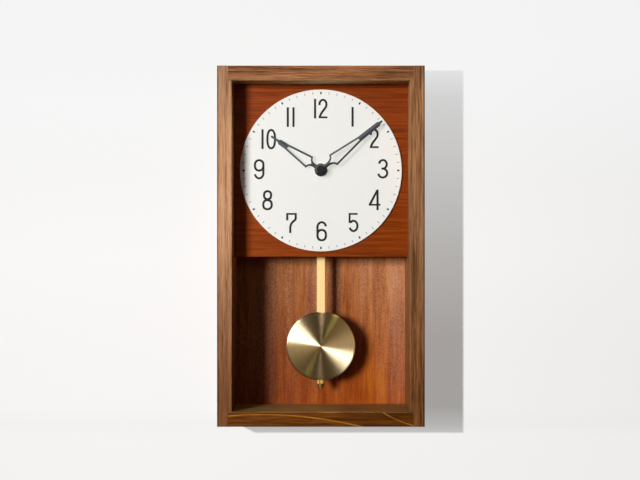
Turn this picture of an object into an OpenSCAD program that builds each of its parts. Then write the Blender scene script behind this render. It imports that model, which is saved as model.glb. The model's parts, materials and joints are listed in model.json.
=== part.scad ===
// Wall pendulum clock: an open box of four edge-on boards with a quartz movement, a round dial
// and a driven pendulum. Millimetres. X is to the right as seen from the front, Y goes back into
// the wall and Z is up. The origin is the centre of the hanger's round entry, in the wall plane.

/* [Case] */
// Width of the case over its side boards
case_w = 230; // [224:1:280]
// Height of the case over its top and bottom boards
case_h = 400; // [394:1:460]
// Depth of the case from the wall to its front edges
case_d = 70; // [68:1:90]
// Thickness of the four case boards
board_t = 16.5; // [14:0.5:18]
// Depth of the corner rebates that take the ends of the top and bottom boards
corner_rebate = 4.2; // [2:0.1:8]
// Width of the eased arrises along the front edges
arris = 0.5; // [0.2:0.1:1]

/* [Back] */
// Thickness of the back panel
panel_t = 4; // [3:0.5:5]
// Distance of the back panel's outer face inside the case's back edges
panel_recess = 2; // [1.5:0.5:3]
// Width of the rebate that the back panel lies in
panel_lap = 6; // [5:0.5:8]
// Gap between the back panel's edges and its rebate
panel_gap = 0.25; // [0.1:0.05:0.5]
// Width of the service window in the back panel
window_w = 92; // [70:1:120]
// Height of the service window in the back panel
window_h = 118; // [90:1:122]
// Height of the service window's lower edge above the pendulum drive's lower edge
window_rise = 9.4; // [3.4:0.1:13.4]
// Length of the screws that hold the back panel
panel_screw_len = 12; // [9:1:14]
// Radius of the shank of the wood screws
screw_r = 1.2; // [1:0.1:1.4]
// Radius of the head of the wood screws
screw_head_r = 2.6; // [2.2:0.1:2.8]

/* [Hanger] */
// Height of the hanging rail
rail_h = 50; // [46:1:56]
// Thickness of the hanging rail from front to back
rail_t = 16; // [14:0.5:18]
// Depth of the hanger's entry below the top of the case
hanger_drop = 42; // [38:1:44]
// Width of the keyhole plate
key_plate_w = 38; // [34:1:50]
// Height of the keyhole plate
key_plate_h = 32; // [31:1:36]
// Thickness of the keyhole plate
key_plate_t = 1.5; // [1.2:0.1:2]
// Radius of the keyhole's round entry
key_r = 4.5; // [4:0.1:5]
// Width of the keyhole's slot
key_slot_w = 4.6; // [3.5:0.1:5]
// Length of the keyhole's slot, from the entry's centre to the centre of its round end
key_slot_len = 9; // [7:0.5:10]
// Room round the keyhole in the pocket behind it
pocket_room = 3.5; // [2:0.1:4]
// Depth of the pocket behind the keyhole plate
pocket_depth = 9; // [6:0.5:11]

/* [Dial board] */
// Distance of the dial board's face behind the case's front edges
dial_recess = 26; // [22:0.5:28]
// Height of the dial board
dial_board_h = 195.2; // [190:0.1:200]
// Thickness of the dial board
dial_board_t = 6; // [5:0.5:7]
// Side of the square cleats behind the dial board
cleat_w = 12; // [9:0.5:14]
// Depth that a screw bites into the dial board from behind
screw_bite = 4; // [2.5:0.5:4.5]

/* [Dial] */
// Diameter of the dial
dial_d = 183; // [176:1:188]
// Gap between the dial's upper edge and the top board
dial_top_gap = 6.1; // [4:0.1:8]
// Thickness of the dial
dial_t = 2.5; // [1.5:0.1:3]
// Thickness of the printed figures and marks
print_t = 0.2; // [0.1:0.05:0.3]
// Distance of the marks' outer ends inside the dial's edge
mark_inset = 2.7; // [1.5:0.1:5]
// Length of a mark
mark_len = 2.6; // [2:0.1:4]
// Width of an hour mark
hour_mark_w = 1.6; // [1:0.1:2.4]
// Width of a minute mark
minute_mark_w = 0.7; // [0.4:0.1:1]
// Distance of the ring of numerals inside the dial's edge
numeral_inset = 22.1; // [20:0.1:25]
// Height by which the ring of numerals is raised above the hands' centre
numeral_rise = 1; // [0:0.1:2]
// Height of a numeral
numeral_h = 22.6; // [18:0.1:25]
// Width of a numeral's stroke
numeral_stroke = 2.4; // [1.6:0.1:3]

/* [Hands] */
// Hour that the hands show
shown_hour = 10; // [0:1:11]
// Minute that the hands show
shown_minute = 8.57; // [0:0.01:59.99]
// Length of the minute hand from the centre to its tip
minute_hand_len = 88.2; // [80:0.1:90]
// Length of the minute hand's narrow tip
minute_tip_len = 5.7; // [4:0.1:12]
// Distance from the centre to the end of the minute hand's opening
minute_opening = 55.1; // [45:0.1:60]
// Distance from the centre to the minute hand's widest place
minute_corner = 18.2; // [16:0.1:22]
// Width of the minute hand's solid part
minute_bar_w = 5.4; // [4:0.1:7]
// Length of the hour hand from the centre to its tip
hour_hand_len = 67.8; // [60:0.1:74]
// Length of the hour hand's narrow tip
hour_tip_len = 11.9; // [8:0.1:14]
// Distance from the centre to the end of the hour hand's opening
hour_opening = 45.5; // [38:0.1:50]
// Distance from the centre to the hour hand's widest place
hour_corner = 16.2; // [15:0.1:20]
// Width of the hour hand's solid part
hour_bar_w = 6; // [5:0.1:8]
// Width of both hands at their widest place
hand_w = 14.8; // [12:0.1:18]
// Width of a hand's arms beside its opening
hand_arm_w = 1.9; // [1.4:0.1:2.6]
// Width of a hand's narrow tip
hand_point_w = 2.4; // [1.8:0.1:3]
// Width of the neck between a hand's hub and its arms
hand_neck_w = 4.2; // [3:0.1:6]
// Thickness of the hands
hand_t = 0.8; // [0.5:0.1:1]
// Diameter of a hand's hub
hand_hub_d = 14.4; // [13.4:0.1:16]
// Length of the neck between a hand's hub and the fork of its arms
hand_neck_len = 5.5; // [4.5:0.1:7]
// Distance of the hour hand's back above the dial
hour_hand_rise = 4.5; // [4.2:0.1:5.5]
// Distance between the two hands
hand_gap = 2.2; // [1:0.1:2.5]
// Diameter of the nut on the hands
hand_nut_d = 9.5; // [8:0.1:11]
// Height of the nut on the hands
hand_nut_h = 2.5; // [2.2:0.1:3.5]

/* [Movement] */
// Width and height of the movement
movement_w = 56; // [55.5:0.5:60]
// Depth of the movement
movement_d = 15; // [14.8:0.1:16]
// Thickness of the movement's plastic walls
shell_t = 1.2; // [1:0.1:1.3]
// Outer radius of the threaded bush
bush_r = 4; // [3.6:0.1:4.2]
// Inner radius of the threaded bush
bush_bore_r = 2.6; // [2.5:0.05:2.8]
// Length of the threaded bush beyond the dial
bush_stand = 3.3; // [3:0.1:3.8]
// Width across the flats of the bush's nut
bush_nut_af = 11; // [10:0.1:11.6]
// Height of the bush's nut
bush_nut_h = 2.2; // [1.6:0.1:2.4]
// Thickness of the washer under the bush's nut
bush_washer_t = 0.5; // [0.3:0.1:0.6]
// Radius of the minute arbor inside the hour pipe
minute_arbor_r = 1.7; // [1.6:0.05:1.8]
// Radius of the minute arbor's rear part
minute_tail_r = 1; // [0.9:0.05:1.1]
// Thickness of a wheel's rim
wheel_t = 1; // [0.8:0.05:1.05]
// Gap between wheels in neighbouring layers
wheel_gap = 0.5; // [0.4:0.05:0.55]
// Radius of the wheels' arbors
arbor_r = 0.8; // [0.7:0.05:0.8]
// Radius of the pivots at the arbors' ends
pivot_r = 0.35; // [0.3:0.05:0.4]
// Radial clearance between anything that turns and what it turns in
running_gap = 0.05; // [0.03:0.01:0.08]
// Tooth module of the wheels between the hands
coarse_module = 0.4; // [0.39:0.01:0.4]
// Tooth module of the wheels between the rotor and the centre wheel
fine_module = 0.25; // [0.24:0.005:0.25]
// Radius of the rotor's magnet
rotor_magnet_r = 3; // [2.5:0.1:3.2]
// Length of the coil's bobbin
bobbin_len = 13; // [10:0.5:13]
// Radius of the bobbin's flanges
bobbin_r = 4.4; // [4:0.1:4.4]
// Radius of the setting knob
knob_r = 5.5; // [4.5:0.1:7]
// Height of the setting knob
knob_h = 3.5; // [2.5:0.1:4]

/* [Cells] */
// Diameter of a cell
cell_d = 14.5; // [14:0.1:14.5]
// Length of a cell's body without its positive nub
cell_len = 49.5; // [48.5:0.1:49.5]
// Gap round a cell in its bay
cell_gap = 0.3; // [0.2:0.05:0.4]

/* [Pendulum drive] */
// Width of the pendulum drive
drive_w = 58; // [58:0.5:64]
// Height of the pendulum drive
drive_h = 62; // [60:0.5:64]
// Depth of the pendulum drive
drive_d = 20; // [19:0.5:22]
// Thickness of the pendulum drive's plastic walls
drive_wall = 1.4; // [1.2:0.1:1.6]
// Gap between the movement and the pendulum drive below it
drive_drop = 3; // [2:0.5:4]
// Radius of the pivot pin
pin_r = 0.8; // [0.7:0.05:1]
// Radius of the swinging arm's hub
arm_hub_r = 3; // [2.4:0.1:3.4]
// Width of the swinging arm
arm_w = 7; // [6:0.1:8]
// Thickness of the swinging arm
arm_t = 2.5; // [2:0.1:2.8]
// Distance from the pivot to the arm's magnet
magnet_drop = 18; // [16:0.5:20]
// Radius of the arm's magnet
arm_magnet_r = 4; // [3:0.1:4.5]
// Outer radius of the drive coil
drive_coil_r = 8; // [6:0.1:9]
// Air gap between the arm's magnet and the drive coil
air_gap = 0.6; // [0.5:0.1:1]

/* [Pendulum] */
// Distance of the pendulum's middle plane behind the dial board
rod_setback = 9; // [8:0.1:9.5]
// Width of the flat rod
rod_w = 9.2; // [8:0.1:10]
// Thickness of the flat rod
rod_t = 1.6; // [1.2:0.1:2]
// Distance from the pivot to the bob's centre
pendulum_len = 146.2; // [120:0.1:150]
// Diameter of the bob
bob_d = 76.4; // [60:0.1:80]
// Thickness of the bob over its back plate
bob_t = 9; // [7.5:0.1:10]
// Thickness of the bob's sheet metal
bob_sheet = 1.2; // [0.8:0.1:1.4]
// Radius of the bob's rolled front edge
bob_roll = 1.8; // [1.5:0.1:2.5]
// Gap round the rod and the stud where they pass through the bob
bob_gap = 0.3; // [0.2:0.05:0.4]
// Radius of the threaded stud
stud_r = 1.5; // [1.2:0.1:1.8]
// Radius of the rating nut's knurled part
nut_r = 4.7; // [4:0.1:5.5]
// Height of the rating nut's knurled part
nut_h = 4.5; // [3.5:0.1:5]
// Radius of the rating nut's collar
nut_collar_r = 3.4; // [2.8:0.1:3.8]
// Height of the rating nut's collar
nut_collar_h = 3.9; // [3:0.1:4.5]
// Travel of the bob up and down from its middle place
rating_travel = 2; // [1:0.1:2.5]

/* [Hidden] */

// Colours, as the photo shows them
OAK_BROWN = "#9c6a45";
BOARD_RED = "#86421c";
PANEL_RED = "#b06a44";
DIAL_WHITE = "#f3f2ed";
INK = "#2d2d2d";
HAND_BLUE = "#323741";
ROD_BRASS = "#fae496";
BOB_BRASS = "#b98f4a";
STEEL = "#a8abae";
BLACK_PLASTIC = "#232323";
WHITE_PLASTIC = "#e6e4dc";
COPPER = "#b4623a";
BOARD_GREEN = "#2f6b43";
CELL_GREY = "#5b6168";

// Small amounts that keep cuts clean and round faces smooth
CUT = 1;
ROUND = 64;

// Places in the case
inner_w = case_w - 2 * board_t;
half_in = inner_w / 2;
case_top = hanger_drop;
case_bottom = case_top - case_h;
inside_top = case_top - board_t;
inside_bottom = case_bottom + board_t;
front = -case_d;
panel_front = -panel_recess - panel_t;
panel_top = inside_top - rail_h + panel_lap;
panel_bottom = inside_bottom - panel_lap;
rail_bottom = inside_top - rail_h;
key_plate_mid = (key_slot_len - pocket_room) * 0.5;
key_screw_x = key_plate_w / 2 - 2 * screw_head_r;

// Places on the dial board
board_front = front + dial_recess;
board_back = board_front + dial_board_t;
board_bottom = inside_top - dial_board_h;
dial_r = dial_d / 2;
hand_z = inside_top - dial_top_gap - dial_r;
dial_front = board_front - dial_t;

// Places along the hands' shaft, from the dial to the front
hour_hand_back = dial_front - hour_hand_rise;
hour_hand_front = hour_hand_back - hand_t;
minute_hand_back = hour_hand_front - hand_gap;
minute_hand_front = minute_hand_back - hand_t;
hand_nut_front = minute_hand_front - hand_nut_h;
hand_nut_lid = 1;
hand_post_r = 1.2;
hour_pipe_r = bush_bore_r - running_gap;
bush_front = dial_front - bush_stand;
minute_angle = 6 * shown_minute;
hour_angle = 30 * (shown_hour + shown_minute / 60);

// Numbers of teeth
CANNON_TEETH = 15;
MOTION_TEETH = 45;
MOTION_PINION_TEETH = 12;
HOUR_TEETH = 48;
CENTRE_TEETH = 80;
THIRD_PINION_TEETH = 10;
THIRD_TEETH = 75;
SECONDS_PINION_TEETH = 10;
SECONDS_TEETH = 60;
INTERMEDIATE_PINION_TEETH = 12;
INTERMEDIATE_TEETH = 60;
ROTOR_TEETH = 10;

// Shape of the teeth, in modules, and the play between them
PRESSURE = 20;
ADDENDUM = 0.8;
DEDENDUM = 1.25;
backlash = 0.1;

// Places of the arbors beside the hands' centre, each one mesh away from the one before it
function polar(r, a) = [r * cos(a), r * sin(a)];
function centres(m, a, b) = m * (a + b) / 2;
motion_dir = 180;
third_dir = 40;
seconds_dir = 100;
intermediate_dir = 180;
rotor_dir = 200;
hands_at = [0, hand_z];
motion_at = hands_at + polar(centres(coarse_module, CANNON_TEETH, MOTION_TEETH), motion_dir);
third_at = hands_at + polar(centres(fine_module, CENTRE_TEETH, THIRD_PINION_TEETH), third_dir);
seconds_at = third_at + polar(centres(fine_module, THIRD_TEETH, SECONDS_PINION_TEETH), seconds_dir);
intermediate_at = seconds_at
    + polar(centres(fine_module, SECONDS_TEETH, INTERMEDIATE_PINION_TEETH), intermediate_dir);
rotor_at = intermediate_at
    + polar(centres(fine_module, INTERMEDIATE_TEETH, ROTOR_TEETH), rotor_dir);

// Places along the movement's depth
shell_front = board_back;
shell_inside = shell_front + shell_t;
shell_back = shell_front + movement_d;
cover_inside = shell_back - shell_t;
half_m = movement_w / 2;
first_layer = shell_inside + 0.6;
function layer(i) = first_layer + i * (wheel_t + wheel_gap);
pinion_over = 0.1;
end_shake = 0.1;
pivot_len = 0.8;
boss_r = 1;
boss_reach = 1.7;
arbor_back = cover_inside - boss_reach - end_shake;
arbor_lead = 0.8;
cell_y = shell_inside + cell_gap + cell_d / 2;
clock_cell_z = hand_z - half_m + shell_t + cell_gap + cell_d / 2;
bay_wall = 1;
bay_top = clock_cell_z + cell_d / 2 + cell_gap;
nub_len = 1;
nub_r = 2.75;
contact_t = 0.5;
contact_w = 9;
spring_root_r = 3.4;
spring_tip_r = 2.4;

// Places of the coil and the stator
core_w = 3;
core_t = 1;
coil_at = hands_at + [-20.6, 17.5];
core_y = layer(3) + wheel_t;
core_end = 2.3;
coil_axis_y = core_y + core_t / 2;
stator_ring = 2.2;
stator_gap = 0.5;

// Places in the pendulum drive
drive_top = hand_z - half_m - drive_drop;
drive_bottom = drive_top - drive_h;
window_bottom = drive_bottom + window_rise;
half_drive = drive_w / 2;
drive_front = board_back;
drive_inside = drive_front + drive_wall;
drive_back = drive_front + drive_d;
drive_cover_in = drive_back - drive_wall;
drive_cell_y = drive_inside + cell_gap + cell_d / 2;
drive_cell_z = drive_top - drive_wall - cell_gap - cell_d / 2;
drive_bay_bottom = drive_cell_z - cell_d / 2 - cell_gap;
pivot_z = drive_bay_bottom - bay_wall - 5.2;
pivot_at = [0, pivot_z];
rod_mid = board_back + rod_setback;
rod_front = rod_mid - rod_t / 2;
rod_back = rod_mid + rod_t / 2;
arm_front = rod_back + 0.2;
arm_back = arm_front + arm_t;
arm_hub_over = 0.5;
hub_play = 0.3;
magnet_z = pivot_z - magnet_drop;
magnet_at = [0, magnet_z];
arm_end = pivot_z - magnet_drop - 15;
rod_top = arm_end + 9;
peg_spread = 5;
peg_r = 1;
magnet_back = drive_cover_in - 3.3 - air_gap;
swing = 8;
slot_half = rod_w / 2 + (pivot_z - drive_bottom) * tan(swing) + 2;
ear_w = 8;
ear_h = 10;
ear_t = 2;

// Places on the pendulum
bob_z = pivot_z - pendulum_len;
bob_r = bob_d / 2;
bob_front_y = rod_mid - bob_t / 2;
bob_back_y = rod_mid + bob_t / 2;
rod_bottom = bob_z - bob_r * 0.68;
nut_top = bob_z - bob_r - 0.2;
nut_bottom = nut_top - nut_h - nut_collar_h;
stud_bottom = nut_bottom - rating_travel + 0.6;

// Helpers: slabs and posts that lie along Y, drawn as seen from the front
module slab(y0, y1) {
    translate([0, y1, 0]) rotate([90, 0, 0]) linear_extrude(y1 - y0) children();
}

module post(at, r, y0, y1, fn = ROUND) {
    translate([at[0], y1, at[1]]) rotate([90, 0, 0]) cylinder(h = y1 - y0, r = r, $fn = fn);
}

module block(from, to) {
    translate(from) cube(to - from);
}

module disc(at, r, fn = ROUND) {
    translate(at) circle(r = r, $fn = fn);
}

module bar(from, to) {
    translate(from) square(to - from);
}

// A wood screw along Y with a flush countersunk head whose flat end is at y_head
module countersunk(at, y_head, len, gap = 0) {
    head_h = screw_head_r - screw_r;
    post(at, screw_r + gap, y_head - len, y_head);
    translate([at[0], y_head, at[1]]) rotate([90, 0, 0])
        cylinder(h = head_h, r1 = screw_head_r + gap, r2 = screw_r + gap, $fn = ROUND);
}

// A screw with a flat round head that lies on y_seat and a slot for the driver
module flat_headed(at, y_seat, len) {
    head_h = 1.6;
    slot_w = 0.7;
    slot_deep = 0.7;
    difference() {
        union() {
            post(at, screw_r, y_seat - len, y_seat);
            post(at, screw_head_r, y_seat, y_seat + head_h);
        }
        block([at[0] - screw_head_r - CUT, y_seat + head_h - slot_deep, at[1] - slot_w / 2],
              [at[0] + screw_head_r + CUT, y_seat + head_h + CUT, at[1] + slot_w / 2]);
    }
}

// Curves for the numerals and the hands
function arc(c, rx, ry, a0, a1, n = 14) =
    [for (i = [0:n]) let (a = a0 + (a1 - a0) * i / n) [c[0] + rx * cos(a), c[1] + ry * sin(a)]];
function mix(p, q, t) = p * (1 - t) + q * t;
function bend(p, q, r, s, n = 8) =
    [for (i = [0:n]) let (t = i / n)
        mix(mix(mix(p, q, t), mix(q, r, t), t), mix(mix(q, r, t), mix(r, s, t), t), t)];
function unit(v) = v / norm(v);
function along(p, i) = unit((i > 0 ? unit(p[i] - p[i - 1]) : [0, 0])
    + (i < len(p) - 1 ? unit(p[i + 1] - p[i]) : [0, 0]));
function beside(p, i, w) = p[i] + w / 2 * [-along(p, i)[1], along(p, i)[0]];

module stroke(path, w) {
    polygon(concat([for (i = [0:len(path) - 1]) beside(path, i, w)],
                   [for (i = [len(path) - 1:-1:0]) beside(path, i, -w)]));
}

// An oval ring whose sides are a little straighter than an ellipse's
function squarish(rx, ry, n = 40, power = 2.3) =
    [for (i = [0:n - 1]) let (a = 360 * i / n)
        [rx * sign(cos(a)) * pow(abs(cos(a)), 2 / power),
         ry * sign(sin(a)) * pow(abs(sin(a)), 2 / power)]];

module ring(c, rx, ry, w) {
    translate(c) difference() {
        polygon(squarish(rx + w / 2, ry + w / 2));
        polygon(squarish(rx - w / 2, ry - w / 2));
    }
}

// Numerals, drawn on a grid of this many units in a numeral's height
GRID = 22.6;
cell_unit = numeral_h / GRID;
pen = numeral_stroke / cell_unit;
cap = GRID / 2;

module digit_1(x = 0) {
    bar([x - pen / 2, -cap + 0.2], [x + pen / 2, cap - 0.2]);
}

module digit_2(x = 0) {
    translate([x, 0]) {
        stroke(concat(arc([0.1, 5.2], 3.9, 4.7, 196, -12),
                      bend([3.9, 3.6], [3.7, 0.2], [-2, -3.4], [-3.6, -9.6])), pen);
        bar([-4.8, -cap + 0.4], [5.2, -cap + 0.4 + pen * 0.85]);
    }
}

module digit_3() {
    stroke(arc([0.3, 4.95], 4.3, 4.85, 172, -90, 18), pen);
    stroke(arc([0.1, -4.95], 5, 5.05, 90, -172, 18), pen);
    bar([-1.4, 0.1 - pen / 2 + 0.05], [0.9, 0.1 + pen / 2 - 0.05]);
}

module digit_4() {
    bar([3.4 - pen / 2, -cap - 0.3], [3.4 + pen / 2, cap + 0.3]);
    bar([-6.5, -5.6 - pen * 0.42], [6.6, -5.6 + pen * 0.42]);
    polygon([[4.6, cap + 0.3], [2.3, cap + 0.3], [-6.5, -4.9], [-6.5, -6.4], [-5.2, -6.4],
             [-3.9, -5.6], [3, 8.2]]);
}

module digit_5() {
    bar([-5.4, cap - 0.9 - pen * 0.85], [4.7, cap - 0.9]);
    bar([-5.4, -0.7], [-5.4 + pen * 0.9, cap - 0.9]);
    stroke(concat([[-4.1, -0.2]], arc([0.1, -4.2], 4.5, 5.8, 130, -160, 20)), pen);
}

module digit_6() {
    ring([0, -4.4], 4.8, 5.8, pen);
    stroke(concat([[-4.8, -4.4]], arc([0, 4.3], 4.8, 5.9, 180, 12, 14)), pen);
}

module digit_7() {
    bar([-6, cap - 0.3 - pen * 0.85], [6, cap - 0.3]);
    bar([-6, 2.7], [-6 + pen, cap - 0.3]);
    stroke(concat([[4.8, cap - 0.3]],
                  bend([4.8, 5], [4.8, 1.6], [-1.3, 2], [-1.3, -6], 10),
                  [[-1.3, -cap - 0.3]]), pen);
}

module digit_8() {
    ring([0.1, 5.7], 4, 4.5, pen);
    ring([0, -5], 4.8, 5.1, pen);
}

module digit_9() {
    rotate(180) digit_6();
}

module digit_0(x) {
    ring([x, 0], 4.3, cap - pen / 2 + 0.2, pen);
}

module numeral(n) {
    if (n == 1) digit_1();
    if (n == 2) digit_2();
    if (n == 3) digit_3();
    if (n == 4) digit_4();
    if (n == 5) digit_5();
    if (n == 6) digit_6();
    if (n == 7) digit_7();
    if (n == 8) digit_8();
    if (n == 9) digit_9();
    if (n == 10) {
        digit_1(-6.9);
        digit_0(2.9);
    }
    if (n == 11) {
        digit_1(-3.2);
        digit_1(3.2);
    }
    if (n == 12) {
        digit_1(-6.3);
        digit_2(2.5);
    }
}

// Optical shift of each numeral from its place on the ring, from 1 to 12
NUDGE = [[1.1, -0.5], [0, 0.5], [0.4, 1], [0.5, 0.5], [2, 0.6], [0.9, -0.3],
         [1.4, 0], [-0.3, 0], [-0.4, 0.3], [1, -0.3], [0.5, -0.8], [-0.3, -0.5]];

// Teeth: half the angle of an involute tooth at radius r, and the outline of a whole wheel
function involute(a) = tan(a) * 180 / PI - a;
function lean(r, rb) = r > rb ? acos(rb / r) : 0;
function half_tooth(r, teeth, m) =
    let (rb = m * teeth / 2 * cos(PRESSURE))
    90 / teeth - backlash / (2 * m * teeth) * 180 / PI + involute(PRESSURE) - involute(lean(r, rb));
function tooth_radii(teeth, m) =
    let (pitch = m * teeth / 2, root = pitch - DEDENDUM * m, base = pitch * cos(PRESSURE),
         start = max(base, root + 0.02))
    [root, start, pitch, pitch + ADDENDUM * m];
function tooth_side(teeth, m, side) =
    let (radii = tooth_radii(teeth, m))
    [for (k = [0:3]) let (j = side < 0 ? k : 3 - k, r = radii[j])
        [r, side * half_tooth(max(r, radii[1]), teeth, m)]];
function wheel_outline(teeth, m, turn) =
    [for (i = [0:teeth - 1])
        for (p = concat(tooth_side(teeth, m, -1), tooth_side(teeth, m, 1)))
            polar(p[0], turn + 360 * i / teeth + p[1])];

// Turn of a driven wheel b that meshes with wheel a in direction dir
function meshed(turn_a, teeth_a, teeth_b, dir) =
    dir + 180 - (0.5 - (dir - turn_a) * teeth_a / 360) * 360 / teeth_b;

module wheel(at, y0, y1, teeth, m, turn = 0) {
    translate([at[0], 0, at[1]]) slab(y0, y1) polygon(wheel_outline(teeth, m, turn));
}

// An arbor with a pivot at each end
module arbor(at, y0, y1) {
    post(at, arbor_r, y0, y1);
    post(at, pivot_r, y0 - pivot_len, y1 + pivot_len);
}

// A boss that holds an arbor's pivot: the hole's mouth is at y_tip
module boss(at, y_root, y_tip) {
    post(at, boss_r, min(y_root, y_tip), max(y_root, y_tip));
}

// A knurled outline of n ridges
function ridges(r, n, deep) =
    [for (i = [0:2 * n - 1]) polar(i % 2 == 0 ? r : r - deep, 180 * i / n)];

// Case boards

module side_board() {
    difference() {
        translate([0, 0, case_bottom]) linear_extrude(case_h)
            polygon([[half_in, 0], [case_w / 2, 0], [case_w / 2, front + arris],
                     [case_w / 2 - arris, front], [half_in + arris, front],
                     [half_in, front + arris]]);
        for (z = [case_bottom, inside_top])
            block([half_in - CUT, front - CUT, z == case_bottom ? z - CUT : z],
                  [half_in + corner_rebate, CUT, z == case_bottom ? inside_bottom : z + board_t + CUT]);
        block([half_in - CUT, panel_front, panel_bottom],
              [half_in + panel_lap, CUT, panel_top]);
        for (z = panel_side_screws())
            countersunk([half_in + panel_lap / 2, z], -panel_recess, panel_screw_len);
    }
}

module cross_board(z0) {
    translate([-half_in - corner_rebate, 0, z0]) rotate([90, 0, 90])
        linear_extrude(inner_w + 2 * corner_rebate)
            polygon([[0, 0], [0, board_t], [front + arris, board_t], [front, board_t - arris],
                     [front, arris], [front + arris, 0]]);
}

module left_side() {
    color(OAK_BROWN) mirror([1, 0, 0]) side_board();
}

module right_side() {
    color(OAK_BROWN) side_board();
}

module top_board() {
    color(OAK_BROWN) cross_board(inside_top);
}

module bottom_board() {
    color(OAK_BROWN) difference() {
        cross_board(case_bottom);
        block([-half_in - corner_rebate - CUT, panel_front, panel_bottom],
              [half_in + corner_rebate + CUT, CUT, inside_bottom + CUT]);
        for (x = panel_cross_screws())
            countersunk([x, panel_bottom + panel_lap / 2], -panel_recess, panel_screw_len);
    }
}

// Back panel and its screws

function panel_side_screws() =
    [for (i = [0:2]) panel_bottom + 30 + i * (panel_top - panel_bottom - 60) / 2];
function panel_cross_screws() = [-half_in / 2, half_in / 2];

module each_panel_screw(gap = 0) {
    for (z = panel_side_screws())
        for (s = [-1, 1])
            countersunk([s * (half_in + panel_lap / 2), z], -panel_recess, panel_screw_len, gap);
    for (x = panel_cross_screws())
        for (z = [panel_bottom + panel_lap / 2, panel_top - panel_lap / 2])
            countersunk([x, z], -panel_recess, panel_screw_len, gap);
}

module back_panel() {
    color(PANEL_RED) difference() {
        block([-half_in - panel_lap + panel_gap, panel_front, panel_bottom + panel_gap],
              [half_in + panel_lap - panel_gap, -panel_recess, panel_top - panel_gap]);
        block([-window_w / 2, panel_front - CUT, window_bottom],
              [window_w / 2, CUT, window_bottom + window_h]);
        each_panel_screw();
    }
}

module panel_screws() {
    color(STEEL) each_panel_screw();
}

// Hanging rail and keyhole plate

module keyhole(r, slot_w) {
    disc([0, 0], r);
    disc([0, key_slot_len], slot_w / 2);
    bar([-slot_w / 2, 0], [slot_w / 2, key_slot_len]);
}

module hanging_rail() {
    pocket_r = key_r + pocket_room;
    color(OAK_BROWN) difference() {
        block([-half_in, -key_plate_t - rail_t, rail_bottom], [half_in, -key_plate_t, inside_top]);
        block([-half_in - CUT, panel_front, rail_bottom - CUT], [half_in + CUT, CUT, panel_top]);
        slab(-key_plate_t - pocket_depth, CUT) keyhole(pocket_r, 2 * pocket_r);
        for (s = [-1, 1])
            post([s * key_screw_x, key_plate_mid], screw_r, -panel_screw_len, CUT);
        for (x = panel_cross_screws())
            post([x, panel_top - panel_lap / 2], screw_r, -panel_recess - panel_screw_len, CUT);
    }
}

module keyhole_plate() {
    color(STEEL) difference() {
        slab(-key_plate_t, 0) difference() {
            bar([-key_plate_w / 2, key_plate_mid - key_plate_h / 2],
                [key_plate_w / 2, key_plate_mid + key_plate_h / 2]);
            keyhole(key_r, key_slot_w);
        }
        keyhole_screw_pair();
    }
}

module keyhole_screw_pair() {
    for (s = [-1, 1])
        countersunk([s * key_screw_x, key_plate_mid], 0, panel_screw_len);
}

module keyhole_screws() {
    color(STEEL) keyhole_screw_pair();
}

// Dial board and its cleats

function cleat_screw_heights() =
    [for (i = [0:2]) board_bottom + 20 + i * (dial_board_h - 40) / 2];
function drive_screw_places() =
    [for (s = [-1, 1]) for (z = [drive_bottom + ear_h, drive_top - ear_h])
        [s * (half_drive + ear_w / 2), z]];

module dial_board() {
    color(BOARD_RED) difference() {
        block([-half_in, board_front, board_bottom], [half_in, board_back, inside_top]);
        post(hands_at, bush_r, board_front - CUT, board_back + CUT);
        for (z = cleat_screw_heights())
            for (s = [-1, 1])
                post([s * (half_in - cleat_w / 2), z], screw_r, board_back - screw_bite,
                     board_back + CUT);
        for (p = drive_screw_places())
            post(p, screw_r, board_back - screw_bite, board_back + CUT);
    }
}

module cleat() {
    color(OAK_BROWN) difference() {
        block([half_in - cleat_w, board_back, board_bottom + 4],
              [half_in, board_back + cleat_w, inside_top]);
        for (z = cleat_screw_heights())
            post([half_in - cleat_w / 2, z], screw_r, board_back - CUT, board_back + cleat_w + CUT);
    }
}

module left_cleat() {
    mirror([1, 0, 0]) cleat();
}

module right_cleat() {
    cleat();
}

module cleat_screws() {
    color(STEEL)
        for (z = cleat_screw_heights())
            for (s = [-1, 1])
                flat_headed([s * (half_in - cleat_w / 2), z], board_back + cleat_w,
                            cleat_w + screw_bite);
}

// Dial

module dial_plate() {
    edge = 0.3;
    color(DIAL_WHITE) difference() {
        translate([0, board_front, hand_z]) rotate([90, 0, 0]) rotate_extrude($fn = ROUND)
            polygon([[0, 0], [dial_r, 0], [dial_r, dial_t - edge], [dial_r - edge, dial_t],
                     [0, dial_t]]);
        post(hands_at, bush_r, dial_front - CUT, board_front + CUT);
    }
}

module dial_numerals() {
    ring_r = dial_r - numeral_inset;
    color(INK) translate([0, 0, hand_z + numeral_rise]) slab(dial_front - print_t, dial_front)
        for (n = [1:12])
            translate(polar(ring_r, 90 - 30 * n) + NUDGE[n - 1] * cell_unit)
                scale(cell_unit) numeral(n);
}

module marks(w, every, skip) {
    r1 = dial_r - mark_inset;
    color(INK) translate([0, 0, hand_z]) slab(dial_front - print_t, dial_front)
        for (i = [0:every:59])
            if (i % 5 != 0 || !skip)
                rotate(-6 * i) bar([-w / 2, r1 - mark_len], [w / 2, r1]);
}

module hour_marks() {
    marks(hour_mark_w, 5, false);
}

module minute_marks() {
    marks(minute_mark_w, 1, true);
}

// Hands

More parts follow.
